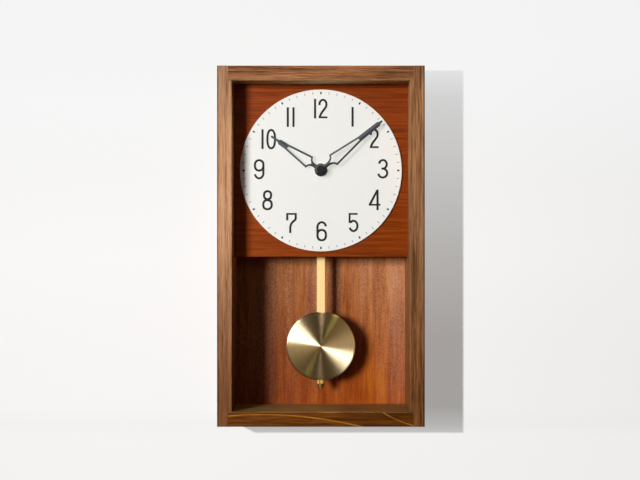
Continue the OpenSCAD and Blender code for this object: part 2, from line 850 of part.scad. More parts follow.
// One side of a hand and a little past its middle: a tulip-shaped opening between two arms that
// close to a solid bar, with hollowed shoulders and a narrow tip. Its small curves are drawn in
// units of the arm's width.
module half_hand(len, tip_len, opening, corner, bar_w) {
    u = hand_arm_w / 1.9;
    hub_r = hand_hub_d / 2;
    half_w = hand_w / 2;
    half_neck = hand_neck_w / 2;
    half_bar = bar_w / 2;
    joined = half_bar + 0.3 * u;
    point = hand_point_w / 2;
    shoulder = len - tip_len;
    flare = hub_r + 1.4 * u;
    fork = hub_r + hand_neck_len;
    past = -0.3 * u;
    difference() {
        polygon(concat([[past, hub_r - 2 * u]], [[half_neck + 0.6 * u, hub_r - 2 * u]],
                       bend([half_neck, flare], [half_neck + 0.1 * u, (flare + corner) / 2],
                            [half_w * 0.49, corner - 1.3 * u], [half_w - 0.1 * u, corner - 0.7 * u]),
                       [[half_w, corner], [joined, opening + u], [half_bar, shoulder]],
                       bend([half_bar - 0.3 * u, shoulder + 0.6 * u],
                            [half_bar * 0.6, shoulder + 1.4 * u],
                            [point, shoulder + 2 * u], [point, shoulder + 3.6 * u], 4),
                       arc([0, len - point], point, point, 10, 80, 4), [[past, len]]));
        polygon(concat([[2 * past, fork]],
                       bend([0, fork], [half_w * 0.16, (fork + corner) / 2],
                            [half_w * 0.38, corner - 0.2 * u],
                            [half_w - hand_arm_w * 1.15, corner + 0.7 * u]),
                       [[joined - hand_arm_w, opening - u],
                        [(joined - hand_arm_w) / 2, opening - 0.2 * u], [2 * past, opening]]));
    }
}

module hand(y0, angle, len, tip_len, opening, corner, bar_w, bore) {
    color(HAND_BLUE) translate([0, 0, hand_z]) slab(y0, y0 + hand_t) rotate(-angle)
        difference() {
            union() {
                disc([0, 0], hand_hub_d / 2);
                for (side = [0, 1])
                    mirror([side, 0]) half_hand(len, tip_len, opening, corner, bar_w);
            }
            disc([0, 0], bore);
        }
}

module hour_hand() {
    hand(hour_hand_front, hour_angle, hour_hand_len, hour_tip_len, hour_opening, hour_corner,
         hour_bar_w, hour_pipe_r);
}

module minute_hand() {
    hand(minute_hand_front, minute_angle, minute_hand_len, minute_tip_len, minute_opening,
         minute_corner, minute_bar_w, hand_post_r);
}

module hand_nut() {
    r = hand_nut_d / 2;
    edge = 0.5;
    color(HAND_BLUE) translate([0, minute_hand_front, hand_z]) rotate([90, 0, 0])
        rotate_extrude($fn = ROUND)
            polygon([[hand_post_r, 0], [r, 0], [r, hand_nut_h - edge], [r - edge, hand_nut_h],
                     [0, hand_nut_h], [0, hand_nut_h - hand_nut_lid],
                     [hand_post_r, hand_nut_h - hand_nut_lid]]);
}

// Movement: housing

function post_places() = [coil_at - [0, bobbin_len / 2 + core_end / 2],
                          coil_at + [0, bobbin_len / 2 + core_end / 2]];
function board_posts() =
    [for (s = [-1, 1]) hands_at + [circuit_post_x, s * circuit_post_z]];

module movement_shell() {
    color(BLACK_PLASTIC) difference() {
        union() {
            difference() {
                block([-half_m, shell_front, hand_z - half_m], [half_m, cover_inside, hand_z + half_m]);
                block([-half_m + shell_t, shell_inside, hand_z - half_m + shell_t],
                      [half_m - shell_t, cover_inside + CUT, hand_z + half_m - shell_t]);
            }
            block([-half_m + shell_t, shell_inside, bay_top],
                  [half_m - shell_t, cover_inside, bay_top + bay_wall]);
            for (p = post_places())
                post(p, 1.1, shell_front, core_y - wheel_t);
            for (p = board_posts())
                post(p, 1.2, shell_front, circuit_front());
            boss(third_at, shell_front, layer(2) - arbor_lead - end_shake);
            boss(seconds_at, shell_front, layer(3) - arbor_lead - end_shake);
            boss(intermediate_at, shell_front, layer(4) - arbor_lead - end_shake);
            boss(rotor_at, shell_front, rotor_front() - end_shake);
        }
        post(hands_at, bush_r, shell_front - CUT, shell_inside + CUT);
        pivot_hole(third_at, layer(2) - arbor_lead);
        pivot_hole(seconds_at, layer(3) - arbor_lead);
        pivot_hole(intermediate_at, layer(4) - arbor_lead);
        pivot_hole(rotor_at, rotor_front());
        pivot_hole(motion_at, shell_inside + end_shake);
    }
}

// The blind hole for an arbor's front pivot, whose shoulder is at y
module pivot_hole(at, y) {
    post(at, pivot_r + running_gap, y - pivot_len - end_shake, y + CUT);
}

// The blind hole for an arbor's rear pivot
module rear_pivot_hole(at) {
    post(at, pivot_r + running_gap, arbor_back - CUT, arbor_back + pivot_len + end_shake);
}

module movement_cover() {
    rear = [hands_at, third_at, seconds_at, intermediate_at, rotor_at];
    color(BLACK_PLASTIC) difference() {
        union() {
            block([-half_m, cover_inside, bay_top], [half_m, shell_back, hand_z + half_m]);
            for (at = rear)
                boss(at, cover_inside + shell_t / 2, arbor_back + end_shake);
        }
        for (at = rear)
            rear_pivot_hole(at);
        post(motion_at, arbor_r + running_gap, cover_inside - CUT, shell_back + CUT);
    }
}

module threaded_bush() {
    color(ROD_BRASS) difference() {
        post(hands_at, bush_r, bush_front, shell_inside);
        post(hands_at, bush_bore_r, bush_front - CUT, shell_inside + CUT);
    }
}

module bush_washer() {
    color(STEEL) difference() {
        post(hands_at, bush_nut_af / 2 + 1, dial_front - bush_washer_t, dial_front);
        post(hands_at, bush_r, dial_front - bush_washer_t - CUT, dial_front + CUT);
    }
}

module bush_nut() {
    back = dial_front - bush_washer_t;
    color(ROD_BRASS) difference() {
        post(hands_at, bush_nut_af / 2 / cos(30), back - bush_nut_h, back, 6);
        post(hands_at, bush_r, back - bush_nut_h - CUT, back + CUT);
    }
}

// Cells and their contacts

module cell(y, z) {
    edge = 0.4;
    color(CELL_GREY) translate([-cell_len / 2 - nub_len / 2, y, z]) rotate([0, 90, 0])
        rotate_extrude($fn = ROUND)
            polygon([[0, 0], [cell_d / 2 - edge, 0], [cell_d / 2, edge],
                     [cell_d / 2, cell_len - edge], [cell_d / 2 - edge, cell_len],
                     [nub_r, cell_len], [nub_r, cell_len + nub_len], [0, cell_len + nub_len]]);
}

// A strip on each end wall of the bay, with a sprung boss that reaches the cell
module contacts(half_bay, y, z) {
    reach = half_bay - contact_t - (cell_len + nub_len) / 2;
    color(STEEL) for (s = [-1, 1]) {
        block([s < 0 ? -half_bay : half_bay - contact_t, y - contact_w / 2, z - contact_w / 2],
              [s < 0 ? -half_bay + contact_t : half_bay, y + contact_w / 2, z + contact_w / 2]);
        translate([s * (half_bay - contact_t), y, z]) rotate([0, -90 * s, 0])
            cylinder(h = reach, r1 = spring_root_r, r2 = spring_tip_r, $fn = ROUND);
    }
}

module clock_cell() {
    cell(cell_y, clock_cell_z);
}

module clock_contacts() {
    contacts(half_m - shell_t, cell_y, clock_cell_z);
}

// Movement: circuit, coil and stator

circuit_t = 1;
circuit_w = 9;
circuit_h = 19;
circuit_x = 21;
circuit_post_x = 21;
circuit_post_z = 7;
function circuit_front() = cover_inside - 2.4;

module circuit_board() {
    color(BOARD_GREEN) slab(circuit_front(), circuit_front() + circuit_t)
        translate(hands_at + [circuit_x, 0])
            bar([-circuit_w / 2, -circuit_h / 2], [circuit_w / 2, circuit_h / 2]);
}

module chip_cover() {
    color(BLACK_PLASTIC)
        post(hands_at + [circuit_x, -1], 2.4, circuit_front() - 0.9, circuit_front());
}

module quartz_crystal() {
    can_r = 1;
    color(STEEL) translate([circuit_x - 2.8, circuit_front() - can_r, hand_z + 1.5])
        cylinder(h = 6, r = can_r, $fn = ROUND);
}

module coil_core() {
    color(STEEL) block([coil_at[0] - core_w / 2, core_y, coil_at[1] - bobbin_len / 2 - core_end],
                       [coil_at[0] + core_w / 2, core_y + core_t,
                        coil_at[1] + bobbin_len / 2 + core_end]);
}

flange_t = 1;
tube_r = 2.4;
module coil_bobbin() {
    fit = 0.05;
    color(WHITE_PLASTIC) difference() {
        translate([coil_at[0], coil_axis_y, coil_at[1] - bobbin_len / 2]) {
            cylinder(h = flange_t, r = bobbin_r, $fn = ROUND);
            cylinder(h = bobbin_len, r = tube_r, $fn = ROUND);
            translate([0, 0, bobbin_len - flange_t])
                cylinder(h = flange_t, r = bobbin_r, $fn = ROUND);
        }
        block([coil_at[0] - core_w / 2 - fit, core_y - fit, coil_at[1] - bobbin_len / 2 - CUT],
              [coil_at[0] + core_w / 2 + fit, core_y + core_t + fit,
               coil_at[1] + bobbin_len / 2 + CUT]);
    }
}

module coil_winding() {
    color(COPPER) translate([coil_at[0], coil_axis_y, coil_at[1] - bobbin_len / 2 + flange_t])
        difference() {
            cylinder(h = bobbin_len - 2 * flange_t, r = bobbin_r - 0.5, $fn = ROUND);
            translate([0, 0, -CUT])
                cylinder(h = bobbin_len - 2 * flange_t + 2 * CUT, r = tube_r, $fn = ROUND);
        }
}

module stator() {
    hole_r = rotor_magnet_r + stator_gap;
    reach = bobbin_len / 2;
    left = coil_at[0] - core_w / 2;
    color(STEEL) slab(core_y - wheel_t, core_y) difference() {
        union() {
            disc(rotor_at, hole_r + stator_ring);
            bar([left, coil_at[1] - reach - core_end],
                [rotor_at[0] + 1, coil_at[1] - reach]);
            bar([left, coil_at[1] + reach], [rotor_at[0] + 1, coil_at[1] + reach + core_end - 0.2]);
            bar([rotor_at[0] - 1.5, rotor_at[1]],
                [rotor_at[0] + 1, coil_at[1] + reach + core_end - 0.2]);
            bar([rotor_at[0] - 1.5, coil_at[1] - reach - core_end], [rotor_at[0] + 1, rotor_at[1]]);
        }
        disc(rotor_at, hole_r);
    }
}

// Movement: wheels. Each turn puts the teeth in mesh with the wheel before.

cannon_turn = 0;
motion_turn = meshed(cannon_turn, CANNON_TEETH, MOTION_TEETH, motion_dir);
motion_pinion_turn = 0;
hour_turn = meshed(motion_pinion_turn, MOTION_PINION_TEETH, HOUR_TEETH, motion_dir + 180);
centre_turn = 0;
third_pinion_turn = meshed(centre_turn, CENTRE_TEETH, THIRD_PINION_TEETH, third_dir);
third_turn = 0;
seconds_pinion_turn = meshed(third_turn, THIRD_TEETH, SECONDS_PINION_TEETH, seconds_dir);
seconds_turn = 0;
intermediate_pinion_turn = meshed(seconds_turn, SECONDS_TEETH, INTERMEDIATE_PINION_TEETH,
                                  intermediate_dir);
intermediate_turn = 0;
rotor_turn = meshed(intermediate_turn, INTERMEDIATE_TEETH, ROTOR_TEETH, rotor_dir);

function rotor_front() = core_y - wheel_t / 2 - 2;

module pinion(at, i, teeth, m, turn) {
    wheel(at, layer(i) - pinion_over, layer(i) + wheel_t + pinion_over, teeth, m, turn);
}

module rim(at, i, teeth, m, turn) {
    wheel(at, layer(i), layer(i) + wheel_t, teeth, m, turn);
}

module rotor() {
    color(WHITE_PLASTIC) {
        pinion(rotor_at, 5, ROTOR_TEETH, fine_module, rotor_turn);
        arbor(rotor_at, rotor_front(), arbor_back);
    }
}

module rotor_magnet() {
    mid = core_y - wheel_t / 2;
    color(CELL_GREY) difference() {
        post(rotor_at, rotor_magnet_r, mid - 1.25, mid + 1.25);
        post(rotor_at, arbor_r, mid - 1.25 - CUT, mid + 1.25 + CUT);
    }
}

module intermediate_wheel() {
    color(WHITE_PLASTIC) {
        rim(intermediate_at, 5, INTERMEDIATE_TEETH, fine_module, intermediate_turn);
        pinion(intermediate_at, 4, INTERMEDIATE_PINION_TEETH, fine_module,
               intermediate_pinion_turn);
        arbor(intermediate_at, layer(4) - arbor_lead, arbor_back);
    }
}

module seconds_wheel() {
    color(WHITE_PLASTIC) {
        rim(seconds_at, 4, SECONDS_TEETH, fine_module, seconds_turn);
        pinion(seconds_at, 3, SECONDS_PINION_TEETH, fine_module, seconds_pinion_turn);
        arbor(seconds_at, layer(3) - arbor_lead, arbor_back);
    }
}

module third_wheel() {
    color(WHITE_PLASTIC) {
        rim(third_at, 3, THIRD_TEETH, fine_module, third_turn);
        pinion(third_at, 2, THIRD_PINION_TEETH, fine_module, third_pinion_turn);
        arbor(third_at, layer(2) - arbor_lead, arbor_back);
    }
}

module centre_wheel() {
    color(WHITE_PLASTIC) difference() {
        rim(hands_at, 2, CENTRE_TEETH, fine_module, centre_turn);
        post(hands_at, minute_tail_r + running_gap, layer(2) - CUT, layer(2) + wheel_t + CUT);
    }
}

module friction_washer() {
    y0 = layer(2) + wheel_t + 0.05;
    washer_t = 0.3;
    color(ROD_BRASS) difference() {
        post(hands_at, minute_tail_r + 0.5, y0, y0 + washer_t);
        post(hands_at, minute_tail_r, y0 - CUT, y0 + washer_t + CUT);
    }
}

module minute_arbor() {
    color(STEEL) {
        post(hands_at, hand_post_r, minute_hand_front - hand_nut_h + hand_nut_lid, minute_hand_back);
        post(hands_at, minute_arbor_r, minute_hand_back, layer(1));
        pinion(hands_at, 1, CANNON_TEETH, coarse_module, cannon_turn);
        post(hands_at, minute_tail_r, layer(1), arbor_back);
        post(hands_at, pivot_r, arbor_back, arbor_back + pivot_len);
    }
}

module motion_wheel() {
    color(WHITE_PLASTIC) {
        rim(motion_at, 1, MOTION_TEETH, coarse_module, motion_turn);
        pinion(motion_at, 0, MOTION_PINION_TEETH, coarse_module, motion_pinion_turn);
        post(motion_at, arbor_r, shell_inside + end_shake, knob_back());
        post(motion_at, pivot_r, shell_inside + end_shake - pivot_len, shell_inside + end_shake);
    }
}

function knob_back() = shell_back + 0.3 + knob_h;

module setting_knob() {
    color(WHITE_PLASTIC) difference() {
        translate([motion_at[0], 0, motion_at[1]]) slab(knob_back() - knob_h, knob_back())
            polygon(ridges(knob_r, 24, 0.4));
        post(motion_at, arbor_r, knob_back() - knob_h - CUT, knob_back() + CUT);
    }
}

module hour_wheel() {
    color(WHITE_PLASTIC) difference() {
        union() {
            rim(hands_at, 0, HOUR_TEETH, coarse_module, hour_turn);
            post(hands_at, hour_pipe_r, hour_hand_front, layer(0) + wheel_t);
        }
        post(hands_at, minute_arbor_r + running_gap, hour_hand_front - CUT,
             layer(0) + wheel_t + CUT);
    }
}

// Pendulum drive

hub_front = arm_front - arm_hub_over;
hub_back = arm_back + arm_hub_over - 0.1;

module drive_shell() {
    color(BLACK_PLASTIC) difference() {
        union() {
            difference() {
                block([-half_drive, drive_front, drive_bottom],
                      [half_drive, drive_cover_in, drive_top]);
                block([-half_drive + drive_wall, drive_inside, drive_bottom + drive_wall],
                      [half_drive - drive_wall, drive_cover_in + CUT, drive_top - drive_wall]);
            }
            block([-half_drive + drive_wall, drive_inside, drive_bay_bottom - bay_wall],
                  [half_drive - drive_wall, drive_cover_in, drive_bay_bottom]);
            post(pivot_at, 2, drive_front, hub_front - hub_play);
            for (p = drive_screw_places())
                block([p[0] - ear_w / 2, drive_front, p[1] - ear_h / 2],
                      [p[0] + ear_w / 2, drive_front + ear_t, p[1] + ear_h / 2]);
        }
        post(pivot_at, pin_r, drive_inside, hub_front);
        for (p = drive_screw_places())
            post(p, screw_r, drive_front - CUT, drive_front + ear_t + CUT);
        block([-slot_half, rod_front - 3, drive_bottom - CUT],
              [slot_half, arm_back + 2, drive_bottom + drive_wall + CUT]);
    }
}

module drive_cover() {
    color(BLACK_PLASTIC) difference() {
        union() {
            block([-half_drive, drive_cover_in, drive_bottom],
                  [half_drive, drive_back, drive_bay_bottom]);
            post(pivot_at, 2, hub_back + hub_play, drive_cover_in + drive_wall / 2);
        }
        post(pivot_at, pin_r, hub_back, drive_cover_in);
    }
}

module pivot_pin() {
    color(STEEL) post(pivot_at, pin_r, drive_inside, drive_cover_in);
}

module drive_screws() {
    color(STEEL)
        for (p = drive_screw_places())
            flat_headed(p, drive_front + ear_t, ear_t + screw_bite);
}

module drive_cell() {
    cell(drive_cell_y, drive_cell_z);
}

module drive_contacts() {
    contacts(half_drive - drive_wall, drive_cell_y, drive_cell_z);
}

module drive_circuit_board() {
    board = 1.2;
    room = 4;
    color(BOARD_GREEN)
        block([drive_coil_r + room, drive_cover_in - board, drive_bottom + room],
              [half_drive - drive_wall - 1, drive_cover_in, pivot_z - room]);
}

module drive_coil() {
    bore_r = 2.5;
    color(COPPER) difference() {
        post(magnet_at, drive_coil_r, magnet_back + air_gap, drive_cover_in);
        post(magnet_at, bore_r, magnet_back, drive_cover_in + CUT);
    }
}

// Pendulum

module swing_arm() {
    foot = arm_w * 0.8;
    color(WHITE_PLASTIC) difference() {
        union() {
            post(pivot_at, arm_hub_r, hub_front, hub_back);
            slab(arm_front, arm_back) union() {
                polygon([[-arm_w / 2, pivot_z], [arm_w / 2, pivot_z], [foot / 2, arm_end],
                         [-foot / 2, arm_end]]);
                disc(pivot_at, arm_w / 2);
                disc(magnet_at, arm_magnet_r + 1);
            }
            for (z = [arm_end + 2, arm_end + 2 + peg_spread])
                post([0, z], peg_r, rod_front - 0.4, arm_front);
        }
        post(pivot_at, pin_r + running_gap, hub_front - CUT, hub_back + CUT);
    }
}

module arm_magnet() {
    color(STEEL) post(magnet_at, arm_magnet_r, arm_back, magnet_back);
}

module pendulum_rod() {
    color(ROD_BRASS) difference() {
        block([-rod_w / 2, rod_front, rod_bottom], [rod_w / 2, rod_back, rod_top]);
        for (z = [arm_end + 2, arm_end + 2 + peg_spread])
            post([0, z], peg_r, rod_front - CUT, rod_back + CUT);
    }
}

module rod_stud() {
    color(ROD_BRASS) translate([0, rod_mid, stud_bottom])
        cylinder(h = rod_bottom - stud_bottom, r = stud_r, $fn = ROUND);
}

// A cup with a rolled front edge, slotted for the rod above and drilled for the stud below
module bob_front() {
    deep = bob_t - bob_sheet;
    color(BOB_BRASS) difference() {
        translate([0, bob_front_y + deep, bob_z]) rotate([90, 0, 0]) rotate_extrude($fn = ROUND)
            polygon(concat([[bob_r, 0]],
                           arc([bob_r - bob_roll, deep - bob_roll], bob_roll, bob_roll, 0, 90, 6),
                           [[0, deep], [0, deep - bob_sheet], [bob_r - bob_roll, deep - bob_sheet],
                            [bob_r - bob_sheet, deep - bob_roll], [bob_r - bob_sheet, 0]]));
        block([-rod_w / 2 - bob_gap, rod_front - bob_gap, bob_z],
              [rod_w / 2 + bob_gap, rod_back + bob_gap, bob_z + bob_r + CUT]);
        translate([0, rod_mid, bob_z - bob_r - CUT])
            cylinder(h = bob_r, r = stud_r + bob_gap, $fn = ROUND);
    }
}

module bob_back() {
    color(BOB_BRASS) post([0, bob_z], bob_r, bob_back_y - bob_sheet, bob_back_y);
}

module rating_nut() {
    color(ROD_BRASS) translate([0, rod_mid, 0]) difference() {
        union() {
            translate([0, 0, nut_top - nut_h]) linear_extrude(nut_h)
                polygon(ridges(nut_r, 36, 0.2));
            translate([0, 0, nut_bottom]) cylinder(h = nut_collar_h, r = nut_collar_r, $fn = ROUND);
        }
        translate([0, 0, nut_bottom - CUT])
            cylinder(h = nut_h + nut_collar_h + 2 * CUT, r = stud_r + running_gap, $fn = ROUND);
    }
}

left_side();
right_side();
top_board();
bottom_board();
back_panel();
panel_screws();
hanging_rail();
keyhole_plate();
keyhole_screws();
dial_board();
left_cleat();
right_cleat();
cleat_screws();
dial_plate();
dial_numerals();
hour_marks();
minute_marks();
hour_hand();
minute_hand();
hand_nut();
movement_shell();
movement_cover();
threaded_bush();
bush_washer();
bush_nut();
clock_cell();
clock_contacts();
circuit_board();
chip_cover();
quartz_crystal();
coil_core();
coil_bobbin();
coil_winding();
stator();
rotor();
rotor_magnet();
intermediate_wheel();
seconds_wheel();
third_wheel();
centre_wheel();
friction_washer();
minute_arbor();
motion_wheel();
hour_wheel();
setting_knob();
drive_shell();
drive_cover();
drive_screws();
drive_cell();
drive_contacts();
drive_circuit_board();
drive_coil();
pivot_pin();
swing_arm();
arm_magnet();
pendulum_rod();
rod_stud();
bob_front();
bob_back();
rating_nut();
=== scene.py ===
# %% [markdown]
# # A wooden wall clock with a pendulum
# The clock is an open box of stained softwood boards. A round white dial sits on a board in its
# upper part, and a brass pendulum hangs in front of a veneered panel in its lower part. The CAD
# model already holds every solid in its right place, so this lesson adds what CAD can't: wood
# grain, print, paint, turned brass, moulded plastic, and the studio in which the clock hangs.

# %% Load the fixed frame
import json

import bpy
import numpy as np
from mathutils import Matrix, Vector


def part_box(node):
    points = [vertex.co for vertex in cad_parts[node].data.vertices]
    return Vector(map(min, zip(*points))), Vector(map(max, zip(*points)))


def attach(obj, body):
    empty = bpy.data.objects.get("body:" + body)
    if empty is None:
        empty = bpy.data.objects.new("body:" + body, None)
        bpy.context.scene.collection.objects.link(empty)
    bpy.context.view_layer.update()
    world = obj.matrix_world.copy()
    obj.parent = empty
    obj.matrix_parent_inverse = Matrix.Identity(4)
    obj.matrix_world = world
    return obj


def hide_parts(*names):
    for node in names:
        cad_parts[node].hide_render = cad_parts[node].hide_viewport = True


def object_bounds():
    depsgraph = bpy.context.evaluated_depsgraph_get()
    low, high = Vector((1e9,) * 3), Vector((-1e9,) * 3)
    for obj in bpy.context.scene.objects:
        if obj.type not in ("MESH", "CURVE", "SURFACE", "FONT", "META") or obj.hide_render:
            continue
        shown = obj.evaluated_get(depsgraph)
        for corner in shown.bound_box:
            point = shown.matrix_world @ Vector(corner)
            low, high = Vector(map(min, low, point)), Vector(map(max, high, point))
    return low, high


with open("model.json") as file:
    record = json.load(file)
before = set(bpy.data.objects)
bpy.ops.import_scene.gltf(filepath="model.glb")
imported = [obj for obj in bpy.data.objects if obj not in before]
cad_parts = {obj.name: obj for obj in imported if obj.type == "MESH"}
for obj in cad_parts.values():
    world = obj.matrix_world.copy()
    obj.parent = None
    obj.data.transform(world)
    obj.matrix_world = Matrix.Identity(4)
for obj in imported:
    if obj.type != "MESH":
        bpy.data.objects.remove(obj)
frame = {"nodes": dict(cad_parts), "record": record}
cad_box = [list(corner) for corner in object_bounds()]
nodes = frame["nodes"]
slot_of = {part["node"]: part["material_slot"] for part in frame["record"]["subparts"]}
MM = 0.001

# %% [markdown]
# ## The camera
# The front edges of the boards show as an exact upright rectangle, so the camera looked straight
# at the wall. The inner faces of the boards run towards one vanishing point, which gives the
# camera's height, and how far they run gives its distance. A small upward shift frames the clock
# as in the photograph while the camera stays level.

# %% Place the camera
PICTURE_WIDTH = 640  # pixels, as are the next two
FOCAL_LENGTH = 1002.7
UPWARD_SHIFT = 19
CAMERA_AT = (-0.001, -1.180, -0.1722)
camera = bpy.data.objects.new("camera", bpy.data.cameras.new("camera"))
bpy.context.scene.collection.objects.link(camera)
camera.location = CAMERA_AT
camera.rotation_euler = (np.radians(90), 0, 0)
camera.data.sensor_width = 36
camera.data.lens = FOCAL_LENGTH * camera.data.sensor_width / PICTURE_WIDTH
camera.data.shift_y = UPWARD_SHIFT / PICTURE_WIDTH
camera.data.clip_start, camera.data.clip_end = 0.01, 50
bpy.context.scene.camera = camera
bpy.context.scene.view_settings.view_transform = "Standard"
print("lens", round(camera.data.lens, 2), "mm, at", -CAMERA_AT[1], "m from the wall")

# %% [markdown]
# ## Small tools for every finish
# Colours are written as the hex values that a paint chart gives, which are sRGB, while shaders
# work on linear light. One function turns the one into the other. Another small function adds a
# node to a material, sets it and joins it up, so that each finish reads as a list of its nodes.


# %% Colours and nodes
def linear(code):
    """An sRGB hex colour as linear red, green, blue and 1. A channel up to 0.04045 is divided by
    12.92, and a higher one is (channel + 0.055) / 1.055, to the power of 2.4."""
    c = np.array([int(code[i:i + 2], 16) for i in (1, 3, 5)]) / 255
    return [*np.where(c <= 0.04045, c / 12.92, ((c + 0.055) / 1.055) ** 2.4).tolist(), 1.0]


def add(tree, kind, settings=None, links=None, stops=None):
    """Adds one node. A setting goes to the input of that name or number, or else to the property
    of that name. A link joins an input to another node's output. Stops are a ramp's colours."""
    node = tree.nodes.new("ShaderNode" + kind)
    for name, value in (settings or {}).items():
        if isinstance(name, int) or name in node.inputs:
            node.inputs[name].default_value = value
        else:
            setattr(node, name, value)
    for name, source in (links or {}).items():
        tree.links.new(source, node.inputs[name])
    if stops:
        marks = node.color_ramp.elements
        while len(marks) < len(stops):
            marks.new(0.5)
        for mark, (place, code) in zip(marks, stops):
            mark.position = place
            mark.color = linear(code)
    return node


print("white is", [round(v, 3) for v in linear("#FFFFFF")], "and mid grey is",
      [round(v, 3) for v in linear("#808080")])


# %% A pattern's scale and a new finish
def per(mm):
    """The scale at which one cell of a pattern on Object coordinates is this many mm wide."""
    return 1 / (mm * MM)


def start(name, **sockets):
    """A new finish with a Principled shader, whose plain sockets get these values."""
    finish = bpy.data.materials.new(name)
    finish.use_nodes = True
    tree = finish.node_tree
    tree.nodes.clear()
    settings = {key.replace("_", " "): value for key, value in sockets.items()}
    shader = add(tree, "BsdfPrincipled", settings)
    add(tree, "OutputMaterial", links={"Surface": shader.outputs["BSDF"]})
    return finish, tree, shader


print("cells 1 mm wide need a scale of", round(per(1)))

# %% [markdown]
# ## Stained wood
# The case is softwood, planed, stained walnut brown and wiped with a thin satin oil. Stain sinks
# into the soft early wood and leaves the hard late wood lighter or darker, so the face shows
# streaks a few millimetres wide with finer lines in them, all along the board. The pattern could
# be painted on a picture, but a noise that is stretched along the fibres gives the same look on
# all sides of a board, end grain included, and needs no unwrapping. A second slow noise bends
# the streaks a little. Slow shades lie over the pattern. Some are painted light and shade: the
# lamp's light falling off along a board, shade on a rounded front arris, and faces painted paler
# where the light reaches them. Others darken a face's stain or change its colour slowly.

# %% Measures of a planed board
AXES = {"X": 0, "Y": 1, "Z": 2}
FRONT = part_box("left_side")[0][1]
BENDS = 70  # mm from one bend of the streaks to the next
USED_NOISE = (0.38, 0.62)  # most of a noise lies in here, so this much of it spans the tones
FIBRE_DEPTH = 0.25  # mm between early and late wood
ARRIS = 0.9  # mm, the radius to which an edge is sanded
print("the boards' front edges are at y =", round(FRONT, 4))


# %% Shades over a board
def shaded(tree, place, colour, shades):
    """The colour multiplied by one ramp for each shade. A shade is an axis, two places on it in
    mm and the ramp between them. With a number in place of the axis, the ramp runs with the
    distance from the front arris at that x."""
    parts = add(tree, "SeparateXYZ", links={0: place})
    for axis, low, high, ramp in shades:
        if axis in AXES:
            value = parts.outputs[AXES[axis]]
        else:
            beside = add(tree, "VectorMath", {"operation": "MULTIPLY_ADD", 1: (1, 1, 0),
                                              2: (-axis * MM, -FRONT, 0)}, {0: place})
            away = add(tree, "VectorMath", {"operation": "LENGTH"}, {0: beside.outputs[0]})
            value = away.outputs["Value"]
        where = add(tree, "MapRange", {"From Min": low * MM, "From Max": high * MM},
                    {"Value": value})
        shade = add(tree, "ValToRGB", links={"Fac": where.outputs[0]}, stops=ramp)
        product = add(tree, "Mix", {"data_type": "RGBA", "blend_type": "MULTIPLY", 0: 1.0},
                      {6: colour, 7: shade.outputs["Color"]})
        colour = product.outputs[2]
    return colour


print("a shade can run along", ", ".join(AXES), "or away from an arris")


# %% A finish for a stained board
def stained_wood(name, grain, tones, streak=3.8, line=1.0, length=34.0, wander=2.0, mix=0.55,
                 shades=(), gloss=0.42, offset=(0, 0, 0)):
    """Streaks are noise whose cells are streak mm wide and length times longer along the grain.
    Lines are the same with their own width. Their mean, with a share mix of lines, picks a colour
    from the tones, and the shades lie over it. The streaks bend by up to wander mm, and offset,
    in mm, takes another part of the pattern. Returns the finish, its tree, colour and place."""
    finish, tree, shader = start(name, Specular_IOR_Level=0.12)
    place = add(tree, "TexCoord").outputs["Object"]
    bend = add(tree, "TexNoise", {"Scale": per(BENDS), "Detail": 2.0}, {"Vector": place})
    centred = add(tree, "VectorMath", {"operation": "MULTIPLY_ADD", 1: [wander * MM * 2] * 3,
                                       2: [v * MM - wander * MM for v in offset]},
                  {0: bend.outputs["Color"]})
    moved = add(tree, "VectorMath", {"operation": "ADD"}, {0: place, 1: centred.outputs[0]})
    squeeze = [1.0, 1.0, 1.0]
    squeeze[AXES[grain]] = 1 / length
    along = add(tree, "Mapping", {"Scale": squeeze}, {"Vector": moved.outputs[0]})
    streaks = add(tree, "TexNoise", {"Scale": per(streak), "Detail": 3.0, "Roughness": 0.55},
                  {"Vector": along.outputs[0]})
    lines = add(tree, "TexNoise", {"Scale": per(line), "Detail": 3.0, "Roughness": 0.65},
                {"Vector": along.outputs[0]})
    both = add(tree, "Mix", {"data_type": "FLOAT", 0: mix},
               {2: streaks.outputs["Fac"], 3: lines.outputs["Fac"]})
    wider = add(tree, "MapRange", {"From Min": USED_NOISE[0], "From Max": USED_NOISE[1]},
                {"Value": both.outputs[0]})
    stain = add(tree, "ValToRGB", links={"Fac": wider.outputs[0]}, stops=tones)
    colour = shaded(tree, place, stain.outputs["Color"], shades)
    tree.links.new(colour, shader.inputs["Base Color"])
    rough = add(tree, "MapRange", {"To Min": gloss - 0.1, "To Max": gloss + 0.12},
                {"Value": lines.outputs["Fac"]})
    tree.links.new(rough.outputs[0], shader.inputs["Roughness"])
    arris = add(tree, "Bevel", {"samples": 4, "Radius": ARRIS * MM})
    bump = add(tree, "Bump", {"Strength": 0.5, "Distance": FIBRE_DEPTH * MM},
               {"Height": lines.outputs["Fac"], "Normal": arris.outputs[0]})
    tree.links.new(bump.outputs[0], shader.inputs["Normal"])
    return finish, tree, colour, place


print("a streak is drawn up to", BENDS, "mm long before it bends")
